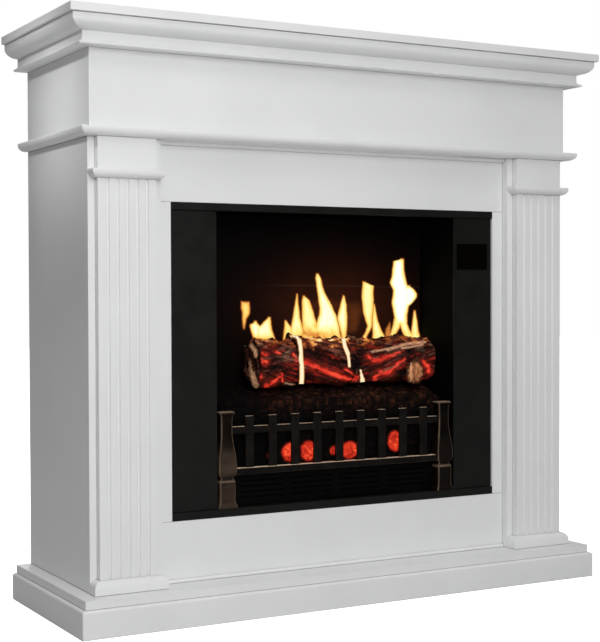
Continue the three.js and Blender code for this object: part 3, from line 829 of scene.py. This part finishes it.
def log_surface(start, end, radius, phase, depth, twist):
    """Tube between two points. Rows run along it, with extra rows that close each end.
    radius * (0.93 + ribs + knots) is the solid's form; ridges of noise, stretched along the
    grain, are added to it, and twist makes the grain wind round the log. Splinters of up to
    a centimetre stand up along the top.
    Returns points, bark height and how far each point is into an end."""
    start, end = np.array(start, float), np.array(end, float)
    axis = end - start
    length = np.linalg.norm(axis)
    axis = axis / length
    side = np.cross(axis, [0.0, 0.0, 1.0])
    side = side / np.linalg.norm(side)
    above = np.cross(side, axis)
    shrink = np.linspace(0, 0.97, CAP_ROWS)[1:]
    t = np.concatenate([np.zeros(CAP_ROWS - 1), np.linspace(0, 1, ALONG), np.ones(CAP_ROWS - 1)])
    inset = np.concatenate([shrink[::-1], np.zeros(ALONG), shrink])
    t, angle = np.meshgrid(t, np.linspace(-math.pi, math.pi, AROUND, endpoint=False), indexing="ij")
    inset = np.broadcast_to(inset[:, None], t.shape)
    run = t * length
    ribs = 0.05 * np.cos(5 * angle + phase) + 0.03 * np.cos(9 * angle - 2 * phase)
    knots = 0.04 * np.sin((run - length / 2) / 17 + phase) * np.cos(2 * angle)
    across = angle * radius + twist * run
    wander = shake(run, across, 26, 26, phase, 5)
    ridges = rough_noise((across + wander) / 5.5, run / 70, phase + 3)
    splits = 1 - np.abs(2 * rough_noise((across + 2 * wander) / 17, run / 90, phase + 31) - 1)
    flakes = rough_noise(run / 7, across / 4, phase + 8)
    height = 0.45 * ridges + 0.3 * flakes + 0.25 * (1 - splits ** 3)
    radial = radius * (0.93 + ribs + knots) + depth * (height - 0.55)
    u, v = np.cos(angle) * radius * (1 - inset), np.sin(angle) * radius * (1 - inset)
    broken = shake(u, v, 14, 22, phase + 21, 16) * np.minimum(1, 5 * inset)
    place = run + np.where(t < 0.5, 1.0, -1.0) * (broken + 3 * inset)
    bend = 0.06 * radius * np.sin(math.pi * t)
    splinters = 3 + 14 * rough_noise(run / 13, across / 9, phase + 44) ** 1.5
    crest = np.clip(np.sin(angle), 0, 1) ** 2 * splinters
    reach = (radial + crest) * (1 - inset)
    points = (start + place[..., None] * axis + (reach * np.cos(angle) + bend)[..., None] * side
              + (reach * np.sin(angle))[..., None] * above)
    return points, height, inset


print("log grid", ALONG + 2 * CAP_ROWS - 2, "by", AROUND)

# %% A log's colours
ASH_RISE = (448, 470)
FOOT_SHADE_RISE = (396, 420)
END_RIM = (0.02, 0.1)


def heartwood(x, z, inset):
    """Share of bare wood on a broken end: full inside a ragged line, little in the burnt rim."""
    ragged = inset + shake(x, z, 7, 7, 53, 0.5)
    return 0.12 + 0.88 * step_between(0.08, 0.34, ragged)


def log_colours(points, height, inset, ash, wood_stops):
    """Bark colour by ridge height with patches of pale ash; rings of wood on the ends; and pale
    splinters. All of it darkens at the lower edge with painted shade."""
    x, z = points[..., 0], points[..., 2]
    tone = blend_colours(BARK_STOPS, step_between(0.36, 0.72, height))
    patch = step_between(0.5, 0.64, rough_noise(x / 22, z / 8, 41)) * step_between(0.4, 0.62, height)
    patch = (patch * ash * step_between(*ASH_RISE, z))[..., None]
    tone = tone * (1 - patch) + PALE_ASH * patch
    rings = 0.5 + 0.5 * np.sin(inset * 30 + 4 * rough_noise(x / 12, z / 12, 4))
    wood = blend_colours(wood_stops, 0.05 + 0.3 * rings + 1.1 * (rough_noise(x / 3.5, z / 8, 13) - 0.25))
    wood = wood * heartwood(x, z, inset)[..., None]
    on_end = step_between(*END_RIM, inset)[..., None]
    tone = tone * (0.25 + 1.1 * fibres(*seen_in_front(points)))[..., None]
    tone = tone * (1 - on_end) + wood * on_end
    pale = splinter_share(points)[..., None]
    # The lower edge of each log darkens with painted shade.
    clear_of_foot_shade = step_between(*FOOT_SHADE_RISE, z + shake(x, z, 9, 9, 47, 16))[..., None]
    return (tone * (1 - pale) + PALE_WOOD * pale) * (0.08 + 0.92 * clear_of_foot_shade)


print("bark in", len(BARK_STOPS), "tones")

# %% [markdown]
# A crack is a chain of short lines, drawn on an upright sheet just in front of the logs as it is seen
# from where the photograph was taken. Its glow is strongest on the chain and fades with distance, and
# it sinks into the grooves of the bark, so it breaks up as embers do. The wood round it is faintly red
# as well. Thin tongues of flame lick down between two logs, drawn the same way in yellow, and so are
# the pale splinters at the left end and on top of the right log, which also get a painted glow for the
# light on them. The upper edge of the logs gets painted light from the flames behind, in broken streaks.

# %% Cracks, licks of flame and splinters as drawn
CRACKS = [(5.0, [(-64, 445), (-49, 439), (-23, 429), (10, 418)]), (3.2, [(10, 418), (37, 411), (48, 410)]),
          (1.8, [(21, 431), (50, 415)]), (4.6, [(75, 453), (86, 445), (98, 447)]),
          (2.8, [(98, 447), (118, 453), (146, 461)]), (5.2, [(84, 403), (91, 416), (105, 422), (123, 423)]),
          (2.6, [(123, 425), (137, 434), (155, 445)]), (4.6, [(202, 440), (212, 432), (214, 422)]),
          (4.0, [(193, 428), (195, 405)]), (3.4, [(-161, 451), (-147, 449)]),
          (3.8, [(-170, 431), (-159, 422)]), (2.4, [(-157, 464), (-145, 462)]),
          (2.6, [(-128, 467), (-121, 465)]), (3.0, [(-92, 463), (-85, 451)]),
          (3.4, [(-149, 403), (-120, 419)]), (2.0, [(-117, 426), (-113, 411)])]
LICKS = [(3.0, [(-111, 498), (-94, 497), (-83, 494), (-78, 487)]),
         (5.2, [(-78, 487), (-76, 474), (-75, 455), (-73, 436), (-73, 417), (-75, 398)]),
         (4.6, [(13, 506), (17, 493), (21, 475), (28, 460)]), (3.2, [(28, 460), (30, 448), (31, 437)]),
         (2.0, [(56, 428), (58, 419)]), (3.6, [(58, 419), (60, 410)]), (5.4, [(60, 410), (61, 399)])]
SPLINTERS = [(7.0, [(-188, 454), (-182, 435), (-174, 417), (-170, 406)]),
             (5.0, [(-180, 480), (-172, 472), (-170, 461)]), (2.6, [(82, 463), (118, 468), (146, 473)]),
             (3.4, [(118, 466), (160, 476), (205, 480)]), (2.6, [(150, 468), (200, 474)]),
             (2.4, [(172, 438), (171, 404)]), (2.2, [(-109, 409), (-83, 403)])]
print(len(CRACKS), "cracks,", len(LICKS), "licks and", len(SPLINTERS), "splinters")

# %% Where a point lies in the drawing
DRAWING_SHEET = -88.0
FACING_FROM = -32.0
FACING_TO = -50.0
FIBRE_TURN = 50.0
FIBRE_SLOPE = 0.3


def seen_in_front(points):
    """x and z where the line from the camera through each point meets the drawing sheet."""
    eye = CAMERA_PLACE / MM
    share = (DRAWING_SHEET - eye[1]) / (points[..., 1] - eye[1])
    return eye[0] + (points[..., 0] - eye[0]) * share, eye[2] + (points[..., 2] - eye[2]) * share


def away_from(x, z, chain):
    """Distance from each point to a chain of straight lines, seen from the front."""
    nearest = np.full(x.shape, 1e6)
    for (x0, z0), (x1, z1) in zip(chain[:-1], chain[1:]):
        dx, dz = x1 - x0, z1 - z0
        t = np.clip(((x - x0) * dx + (z - z0) * dz) / (dx * dx + dz * dz), 0, 1)
        nearest = np.minimum(nearest, np.hypot(x - x0 - t * dx, z - z0 - t * dz))
    return nearest


def fibres(x, z):
    """Fine streaks along the grain, from 0 to 1: down to the right on the left and centre logs
    and up to the right on the right log."""
    across = z + np.where(x < FIBRE_TURN, FIBRE_SLOPE, -FIBRE_SLOPE) * x
    return step_between(0.34, 0.62, rough_noise(x / 26, across / 3.0, 85, 3))


def splinter_share(points):
    """How pale each point is, from 0 to 1: high along the chains in SPLINTERS, broken by grain."""
    x, z = seen_in_front(points)
    grain = rough_noise(x / 5, z / 3, 88)
    pale = np.zeros(x.shape)
    for width, chain in SPLINTERS:
        away = away_from(x, z, chain) + 1.2 * width * (grain - 0.5)
        pale = np.maximum(pale, 1 - step_between(0.4 * width, 1.1 * width, away))
    return pale * (0.15 + 1.0 * grain) * step_between(FACING_FROM, FACING_TO, points[..., 1])


print("drawing sheet at", DRAWING_SHEET, "mm")

# %% Light that the logs give
RED_RISE = (392, 412)
FAINT_RISE = (398, 416)
RIM_LIGHT_RISE = (464, 494)


def crack_heat(x, z, height):
    """Heat from 0 to 1, seen from the front: high along the cracks and highest in the grooves, over
    a faint glow that drifts over the wood, and fading out at the lower edge."""
    shaken_x = x + shake(x, z, 14, 8, 51, 7)
    shaken_z = z + shake(x, z, 10, 8, 57, 8)
    heat = np.zeros(x.shape)
    for width, chain in CRACKS:
        away = away_from(shaken_x, shaken_z, chain)
        core = 1 - step_between(0.35 * width, 1.4 * width, away)
        halo = 0.42 * np.exp(-(away / (2.8 * width)) ** 2)
        heat = np.maximum(heat, np.maximum(core, halo))
    heat = heat * (0.6 + 0.6 * rough_noise(x / 6, z / 4, 61))
    groove = step_between(0.72, 0.42, height)
    dim = 0.3 * step_between(0.36, 0.6, rough_noise(x / 24, z / 12, 66)) * step_between(0.66, 0.42, height)
    dim = dim * step_between(*FAINT_RISE, z)
    streak = fibres(x, z)
    heat = np.maximum(heat * (0.6 + 0.5 * groove) * (0.72 + 0.4 * streak), dim * (0.3 + 1.0 * streak))
    return heat * step_between(*RED_RISE, z + shake(x, z, 8, 8, 63, 14))


def lick_heat(x, z):
    """Heat from 0 to 1 along the tongues of flame in LICKS."""
    heat = np.zeros(x.shape)
    for width, chain in LICKS:
        heat = np.maximum(heat, 1 - step_between(0.35 * width, 1.35 * width, away_from(x, z, chain)))
    return heat


def rim_light_heat(x, z):
    """Painted light from the flames behind, from 0 to 1, in broken streaks along the upper edge, strongest
    near the middle.
    """
    rim = step_between(*RIM_LIGHT_RISE, z + shake(x, z, 6, 5, 79, 18))
    rim = rim * (0.42 + 0.55 * np.exp(-(x / 70) ** 4))
    return rim * (0.14 + 1.1 * step_between(0.3, 0.74, rough_noise(x / 11 + z / 9, z / 3.2, 71)))


def log_glow(points, height, inset, end_light):
    """Red cracks, yellow licks of flame and painted light from the flames along the upper edge, on the
    side that faces the room. The ends show only the painted glow of splinters and of their bare wood."""
    x, z = seen_in_front(points)
    on_end = step_between(*END_RIM, inset)
    facing = step_between(FACING_FROM, FACING_TO, points[..., 1]) * (1 - on_end)
    cracks = blend_colours(CRACK_STOPS, crack_heat(x, z, height) * facing)
    flame = blend_colours(LICK_STOPS, lick_heat(x, z) * facing)
    rim_light = blend_colours(RIM_LIGHT_STOPS, rim_light_heat(x, z) * facing)
    splinters = splinter_share(points)[..., None] * SPLINTER_LIGHT
    bare = on_end * heartwood(points[..., 0], points[..., 2], inset)
    ends = (1.9 * bare * rough_noise(x / 3, z / 7, 19) ** 2)[..., None] * np.array(end_light)
    return np.maximum(np.maximum(cracks, flame), splinters + rim_light + ends)


print("cracks glow in", len(CRACK_STOPS), "steps")

# %% Laying the logs
def lay_log(name, stretches, ash):
    """One log, or a log and its stub, as one piece: tubes, each closed at both ends."""
    points, quads, caps, tones, glows = [], [], [], [], []
    base = 0
    for start, end, radius, phase, depth, twist, wood_stops, end_light in stretches:
        surface, height, inset = log_surface(start, end, radius, phase, depth, twist)
        rows, columns, _ = surface.shape
        quads.append(grid_faces(rows, columns, True) + base)
        caps += [cap + base for cap in end_caps(rows, columns)]
        tones.append(log_colours(surface, height, inset, ash, wood_stops).reshape(-1, 3))
        glows.append(log_glow(surface, height, inset, end_light).reshape(-1, 3))
        points.append(surface.reshape(-1, 3))
        base += rows * columns
    piece = lay_mesh(name + "_bark", np.vstack(points), np.vstack(quads), caps, [name], bark)
    paint_points(piece, "tone", np.vstack(tones))
    paint_points(piece, "glow", np.vstack(glows))
    return piece


lay_log("log_left", [((-158, -50, 441), (-81, -48, 441), 42, 0.4, 11, -0.2, RED_WOOD, NO_LIGHT)], 0.9)
lay_log("log_centre", [((-75, -46, 447), (47, -45, 440), 43, 2.1, 12, 0.35, RED_WOOD, NO_LIGHT)], 0.0)
lay_log("log_right", [((52, -41, 440), (236, -40, 439), 42, 3.8, 11, -0.3, RED_WOOD, NO_LIGHT),
                      ((181, -88, 418), (184, -34, 424), 23, 5.5, 6, 0.0, WARM_WOOD, WARM_LIGHT)], 0.7)
print("three logs laid")

# %% [markdown]
# ## The bed of coals
#
# The bed is one moulding that looks like a heap of charcoal, with a few clear lumps in front that
# glow orange. Its section runs up the back, over the top, down the front and along the bottom, and is
# carried across the fire. Rounded lumps of two sizes stand out of the top and the front.

# %% Bed of coals
BED_HALF = 240.0
BED_FRONT = -85.0
BED_BACK = 6.0
BED_BOTTOM = 176.5
BED_TOP = 390.0
BED_SLOPE = 22.0
LUMPS_END = 230.0
LUMP_DEPTH = 10
BED_TAPER = 12
CHARCOAL_STOPS = [(0, 0.0006, 0.0003, 0.0002), (0.45, 0.0085, 0.0031, 0.0017), (1, 0.07, 0.023, 0.011)]
COAL_STOPS = [(0, 0, 0, 0), (0.25, 0.06, 0.004, 0.002), (0.55, 0.3, 0.012, 0.006),
              (0.85, 0.62, 0.036, 0.013), (1, 0.95, 0.12, 0.04)]
COALS = [(-97, 280, 21, 20, 1.0), (-57, 279, 19, 21, 1.0), (-1, 277, 11, 10, 0.8), (34, 276, 23, 19, 1.0),
         (137, 288, 18, 23, 1.0), (-140, 275, 6, 7, 0.3)]


def bed_section():
    """Closed outline (y, z) of the bed, with a mark for the top and for the front."""
    rise = np.linspace(BED_BOTTOM, BED_TOP, 8)
    y = np.linspace(BED_BACK, BED_FRONT, 62)[1:]
    top_z = BED_TOP - BED_SLOPE * ((BED_BACK - y) / (BED_BACK - BED_FRONT)) ** 2
    z = np.linspace(BED_TOP - BED_SLOPE, LUMPS_END, 74)[1:]
    back = np.column_stack([np.full(rise.shape, BED_BACK), rise, 0 * rise, 0 * rise])
    top = np.column_stack([y, top_z, np.ones(y.shape), 0 * y])
    face = np.column_stack([np.full(z.shape, BED_FRONT), z, 0 * z, np.ones(z.shape)])
    foot = np.array([[BED_FRONT, BED_BOTTOM, 0, 0]])
    return np.vstack([back, top, face, foot])


def bed_surface():
    """The section at each station across the fire, pushed up on top and out in front by lumps.
    A glowing coal stands further out. Returns points, lump heights, one number each for the large
    and the small lump a point belongs to, heat, and the noise that the heat was shaken by."""
    section = bed_section()
    x, row = np.meshgrid(np.linspace(-BED_HALF, BED_HALF, 241), np.arange(len(section)), indexing="ij")
    y, z, top, face = (section[row, k] for k in range(4))
    run = np.where(top > 0, y, z)
    large, kind = pebbles(x / 21, run / 16, 3)
    small, grain = pebbles(x / 6.5, run / 5.5, 12)
    fine = rough_noise(x / 3, run / 3, 30)
    lumps = 0.5 * large + 0.34 * small + 0.16 * fine
    ripple = rough_noise(x / 9, z / 9, 77)
    hot = np.zeros(x.shape)
    for cx, cz, wide, tall, heat in COALS:
        away = np.hypot((x - cx) / wide, (z - cz) / tall) + 0.35 * (ripple - 0.5)
        hot = np.maximum(hot, heat * step_between(1.0, 0.72, away) * face)
    inset = np.minimum(1, (BED_HALF - np.abs(x)) / BED_TAPER)
    z = z + top * (LUMP_DEPTH * lumps) * inset
    y = y + face * (LUMP_DEPTH * (1 - lumps) * (1 - 0.75 * hot)) * inset
    points = np.stack([x, y, z], axis=-1)
    return points, lumps, kind, grain, hot, ripple


print("bed section", len(bed_section()), "points")

# %% Colours of the coals
LIT_HEIGHTS = (338, 374)
LIT_ACROSS = (-190, -100)
bed_points, lumps, kind, grain, hot, ripple = bed_surface()
# Painted shade: the bed darkens low down at the front and towards the left.
lit = 0.1 + 0.9 * step_between(*LIT_HEIGHTS, bed_points[..., 2])
lit = lit * (0.1 + 0.9 * step_between(*LIT_ACROSS, bed_points[..., 0]))
# Darker in the hollows between lumps, which is painted shade. kind and grain change the tone from lump to
# lump.
shade = step_between(0.3, 0.95, lumps) * (0.1 + 0.32 * kind + 0.72 * grain ** 2)
charcoal = blend_colours(CHARCOAL_STOPS, shade) * lit[..., None]
specks = rough_noise(bed_points[..., 0] / 3.6, bed_points[..., 2] / 3.6, 83)
heat = blend_colours(COAL_STOPS, hot * (0.15 + 0.45 * ripple + 0.75 * specks))
bed = lay_tube("ember_bed_coals", bed_points, ["ember_bed"], embers)
paint_points(bed, "tone", charcoal.reshape(-1, 3))
paint_points(bed, "glow", heat.reshape(-1, 3))
print("bed of coals", bed_points.shape[0], "by", bed_points.shape[1], "points")

# %% [markdown]
# ## Flames on the panel
#
# In such a fire the flames are light on a dark panel behind the logs, so they are flat here too. Each
# flame is drawn as its left and right edge at a few heights. A formula for a tongue of flame would be
# shorter, but real flames fork and lean, each in its own way. A point's heat climbs from a flame's
# edge inward, and heat gives the colour, from brown through orange and yellow to white.

# %% Flames as drawn
FLAMES = [(0.72, [(510, -146, -145), (527, -147, -140), (537, -147, -133), (548, -150, -132),
                  (560, -149, -134)]),
          (0.95, [(490, -124, -113), (512, -131, -110), (517, -131, -115), (522, -122, -119)]),
          (0.92, [(488, -114, -78), (506, -119, -85), (515, -108, -87), (530, -91, -88)]),
          (0.84, [(486, -60, -27), (505, -57, -38), (514, -56, -45), (523, -55, -53)]),
          (0.90, [(482, -47, -9), (514, -41, -18), (528, -38, -23), (557, -32, -27), (574, -29, -28)]),
          (0.85, [(480, -11, 27), (508, -16, 18), (539, -17, 7), (562, -17, -2), (569, -15, -12)]),
          (0.94, [(474, 23, 73), (507, 13, 66), (533, 22, 58), (547, 23, 51), (578, 18, 32), (606, 14, 24),
                  (614, 16, 19)]),
          (1.00, [(498, 24, 36), (533, 25, 41), (560, 23, 36), (592, 18, 26)]),
          (0.93, [(472, 75, 83), (499, 71, 82), (527, 63, 84), (551, 70, 83), (570, 76, 78)]),
          (0.86, [(480, 115, 125), (498, 129, 136), (510, 133, 142), (538, 123, 144), (562, 120, 146),
                  (590, 121, 146), (598, 122, 127)]),
          (0.90, [(475, 145, 181), (496, 145, 167), (522, 145, 156), (554, 147, 148)]),
          (0.46, [(481, 172, 191), (505, 176, 187), (517, 184, 186)]),
          (1.00, [(513, 203, 225), (529, 197, 225), (556, 192, 232), (580, 195, 232), (598, 187, 225),
                  (611, 192, 221), (640, 196, 218), (645, 213, 218)]),
          (0.84, [(477, 176, 191), (493, 187, 199), (505, 192, 208), (529, 198, 215)]),
          (0.90, [(474, 227, 251), (501, 215, 232), (513, 210, 226), (537, 200, 226)]),
          (1.00, [(548, 220, 228), (558, 220, 241), (566, 220, 249), (574, 220, 250), (584, 220, 243),
                  (591, 220, 234)]),
          (0.92, [(474, 234, 261), (496, 238, 255), (511, 241, 252), (540, 245, 247)])]
FLAME_STOPS = [(0.0, 0.0, 0.0, 0.0), (0.13, 0.024, 0.0052, 0.0017), (0.28, 0.2, 0.05, 0.01),
               (0.45, 0.72, 0.26, 0.05), (0.6, 1.0, 0.58, 0.12), (0.75, 1.0, 0.83, 0.24),
               (0.88, 1.0, 0.96, 0.46), (1.0, 1.0, 1.0, 0.93)]
print(len(FLAMES), "flames in", len(FLAME_STOPS), "steps of colour")

# %% Heat of the flames
PANEL_HALF = 258.7
PANEL_BOTTOM = 187.3
PANEL_TOP = 724.2
PANEL_FRONT = 10.0
PANEL_BACK = 14.0
FLAME_EDGE = (-4.6, 2.4)
FLAME_CORE = (0, 9)
ROOT_X = 14
ROOT_Z = 486
HAZES = [(0.15, 60, 150, 545, 80), (0.08, 100, 17, 518, 28)]


def one_flame(x, z, peak, edges):
    """Heat of one flame: about three quarters of its peak just inside the edge and the whole of
    it 9 mm further in, with edges straight between the heights that are drawn."""
    edges = np.array(edges, float)
    left = np.interp(z, edges[:, 0], edges[:, 1])
    right = np.interp(z, edges[:, 0], edges[:, 2])
    across = np.minimum(x - left, right - x)
    along = np.minimum(z - edges[0, 0], edges[-1, 0] - z)
    depth = np.minimum(across, along)
    return peak * step_between(*FLAME_EDGE, depth) * (0.78 + 0.22 * step_between(*FLAME_CORE, depth))


def flame_heat(x, z):
    """The hottest flame at each point, cooler at the foot, over a brown haze with smoky patches
    and a patchy orange glow behind the logs."""
    bent_x = x + shake(x, z, 12, 16, 91, 2.4)
    bent_z = z + shake(x, z, 9, 14, 95, 5.0)
    heat = np.zeros(x.shape)
    for peak, edges in FLAMES:
        heat = np.maximum(heat, one_flame(bent_x, bent_z, peak, edges))
    ragged = z + shake(x, z, 9, 9, 97, 22)
    heat = heat * (1 - 0.42 * np.exp(-((x - ROOT_X) / 56) ** 4) * step_between(520, ROOT_Z, ragged))
    heat = heat * (0.84 + 0.16 * step_between(482, 506, ragged))
    haze = np.zeros(x.shape)
    for level, cx, wide, cz, tall in HAZES:
        haze = haze + level * np.exp(-((x - cx) / wide) ** 2 - ((z - cz) / tall) ** 2)
    haze = haze * (0.65 + 0.7 * rough_noise(x / 30, z / 24, 23))
    root = 0.85 * np.exp(-((x - ROOT_X) / 58) ** 4 - ((z - ROOT_Z) / 22) ** 2)
    root = root * rough_noise(x / 9, z / 9, 29)
    return np.maximum(heat, haze + root)


def panel_lines(low, high, near_low, near_high, fine, coarse):
    """Grid lines that lie close together where the flames are and wide apart elsewhere."""
    before = np.arange(low, near_low, coarse)
    close = np.arange(near_low, near_high, fine)
    after = np.linspace(near_high, high, max(2, int((high - near_high) / coarse)))
    return np.concatenate([before, close, after])


flame_x = panel_lines(-PANEL_HALF, PANEL_HALF, -160.0, 257.0, 1.5, 12.0)
flame_z = panel_lines(PANEL_BOTTOM, PANEL_TOP, 460.0, 660.0, 1.5, 12.0)
panel_x, panel_z = np.meshgrid(flame_x, flame_z, indexing="ij")
print("panel grid", panel_x.shape)

# %% The panel itself
PANEL_DARK = (0.0018, 0.0012, 0.0009)
BRICK_JOINT = 591.0
BRICK_TILT = 0.012
BRICK_EDGE = (1.6, 0.6)
BRICK_ACROSS = (-130, -60)
BRICK_TONE = (0.05, 0.032, 0.022)
BRICK_LIGHT = (0.016, 0.008, 0.005)


def edge_numbers(rows, columns):
    """Numbers of the points round the edge of a grid, in order."""
    numbers = np.arange(rows * columns).reshape(rows, columns)
    return np.concatenate([numbers[0, :], numbers[1:, -1], numbers[-1, -2::-1], numbers[-2:0:-1, 0]])


def lay_panel():
    """A slab: the front is the fine grid, the back is one face, and a band of faces joins them.
    Returns the piece and how many of its points are on the front."""
    rows, columns = panel_x.shape
    front = np.stack([panel_x, np.full(panel_x.shape, PANEL_FRONT), panel_z], axis=-1).reshape(-1, 3)
    rim = edge_numbers(rows, columns)
    back = front[rim].copy()
    back[:, 1] = PANEL_BACK
    behind = np.arange(len(rim)) + len(front)
    band = np.stack([rim, behind, np.roll(behind, -1), np.roll(rim, -1)], axis=-1)
    quads = np.vstack([grid_faces(rows, columns, False), band])
    points = np.vstack([front, back])
    piece = lay_mesh("flame_screen_lit", points, quads, [behind[::-1]], ["flame_screen"], screen)
    return piece, len(front)


def paint_panel(piece, count):
    """Flames as light on the first count points, and one faint joint of brickwork behind them."""
    joint = step_between(*BRICK_EDGE, np.abs(panel_z - BRICK_JOINT + BRICK_TILT * panel_x))
    joint = joint * step_between(*BRICK_ACROSS, panel_x)
    streak = 0.45 * joint * rough_noise(panel_x / 20, panel_z / 3, 65)
    total = len(piece.data.vertices)
    tone = np.full((total, 3), PANEL_DARK)
    tone[:count] += streak.reshape(-1, 1) * np.array(BRICK_TONE)
    glow = np.zeros((total, 3))
    glow[:count] = blend_colours(FLAME_STOPS, flame_heat(panel_x, panel_z)).reshape(-1, 3)
    glow[:count] += streak.reshape(-1, 1) * np.array(BRICK_LIGHT)
    paint_points(piece, "tone", tone)
    paint_points(piece, "glow", glow)


panel, front_count = lay_panel()
paint_panel(panel, front_count)
print("flame panel", len(panel.data.polygons), "faces")

# %% [markdown]
# ## Floor and light
#
# The picture has a white ground and soft light. Two broad lamps stand near the camera, a low one and
# a stronger one above it. A third is high up, for the tops of the steps, and a narrow one fades down
# the left side from the frieze. A fifth lights the back, which the picture does not show. The sky is
# bright overhead. The floor and the sky look white to the camera but send less light back, so the
# shaded side stays grey.

# %% Floor
FLOOR_HALF = 12.0
FLOOR_ROUGH = 0.9
FLOOR_SHINE = 0.97
FLOOR_GREY = (0.52, 0.52, 0.52, 1)
FLOOR_PALE = (0.95, 0.95, 0.95, 1)
WHITE = (1, 1, 1, 1)


def show_camera(tree, usual, shown, output):
    """Sends one shader to the camera and another one to all other rays."""
    seen = tree.nodes.new("ShaderNodeLightPath")
    feeds = {"Fac": seen.outputs["Is Camera Ray"], 1: usual, 2: shown}
    mix = place_node(tree, "ShaderNodeMixShader", None, feeds)
    tree.links.new(mix.outputs["Shader"], tree.nodes[output].inputs["Surface"])


def stage_floor():
    """A large pale square on the ground, white to the camera and grey to the light it sends back."""
    corners = [(sx * FLOOR_HALF, sy * FLOOR_HALF, 0) for sx, sy in ((-1, -1), (1, -1), (1, 1), (-1, 1))]
    mesh = bpy.data.meshes.new("studio_floor")
    mesh.from_pydata(corners, [], [(0, 1, 2, 3)])
    floor = bpy.data.objects.new("studio_floor", mesh)
    bpy.context.scene.collection.objects.link(floor)
    material, tree, grey = start_material("studio_floor")
    grey.inputs["Base Color"].default_value = FLOOR_GREY
    grey.inputs["Roughness"].default_value = FLOOR_ROUGH
    values = {"Base Color": FLOOR_PALE, "Roughness": FLOOR_ROUGH, "Emission Color": WHITE}
    bright = place_node(tree, "ShaderNodeBsdfPrincipled", values)
    bright.inputs["Emission Strength"].default_value = FLOOR_SHINE
    show_camera(tree, grey.outputs["BSDF"], bright.outputs["BSDF"], "Material Output")
    mesh.materials.append(material)
    return floor


stage_floor()
print("floor laid")

# %% Lamps
def lamp(name, place, aim, wide, high, power, spread=180):
    """A flat lamp of a width and height, at a place, turned towards the point that it lights. Its
    light fans out by spread, in degrees."""
    data = bpy.data.lights.new(name, "AREA")
    data.shape = "RECTANGLE"
    data.size = wide
    data.size_y = high
    data.energy = power
    data.spread = math.radians(spread)
    light = bpy.data.objects.new(name, data)
    place, aim = np.array(place, float), np.array(aim, float)
    back = (place - aim) / np.linalg.norm(place - aim)
    across = np.cross([0.0, 0.0, 1.0], back)
    across = across / np.linalg.norm(across)
    light.matrix_world = placed(across, np.cross(back, across), back, place)
    light.visible_camera = False
    bpy.context.scene.collection.objects.link(light)
    return light


lamp("low_lamp", (-0.75, -2.2, 0.7), (-0.1, 0.0, 0.5), 1.0, 1.0, 8.1)
lamp("front_lamp", (-0.7, -2.4, 1.5), (-0.1, 0.0, 0.5), 1.0, 1.0, 20.6)
lamp("high_lamp", (-0.7, -1.3, 2.3), (-0.1, -0.2, 0.0), 0.8, 0.8, 6.3)
lamp("frieze_lamp", (-1.2, 0.0, 1.4), (-0.51, 0.0, 0.91), 0.3, 0.1, 0.13, 26)
lamp("back_lamp", (0.9, 2.4, 1.1), (0.0, 0.0, 0.5), 1.2, 1.2, 22)

print("five lamps")

# %% Sky
SKY_LEVEL = 0.0
SKY_OVERHEAD = 0.61
world = bpy.data.worlds.new("studio_sky")
world.use_nodes = True
sky_tree = world.node_tree
look = sky_tree.nodes.new("ShaderNodeTexCoord")
parts = place_node(sky_tree, "ShaderNodeSeparateXYZ", None, {"Vector": look.outputs["Generated"]})
rise = place_node(sky_tree, "ShaderNodeMapRange", {"To Min": SKY_LEVEL, "To Max": SKY_OVERHEAD},
                  {"Value": parts.outputs["Z"]})
rise.interpolation_type = "SMOOTHSTEP"
sky = sky_tree.nodes["Background"]
sky.inputs["Color"].default_value = WHITE
sky_tree.links.new(rise.outputs["Result"], sky.inputs["Strength"])
white_sky = place_node(sky_tree, "ShaderNodeBackground", {"Color": WHITE})
show_camera(sky_tree, sky.outputs["Background"], white_sky.outputs["Background"], "World Output")
bpy.context.scene.world = world
print("sky strength", SKY_OVERHEAD, "overhead")
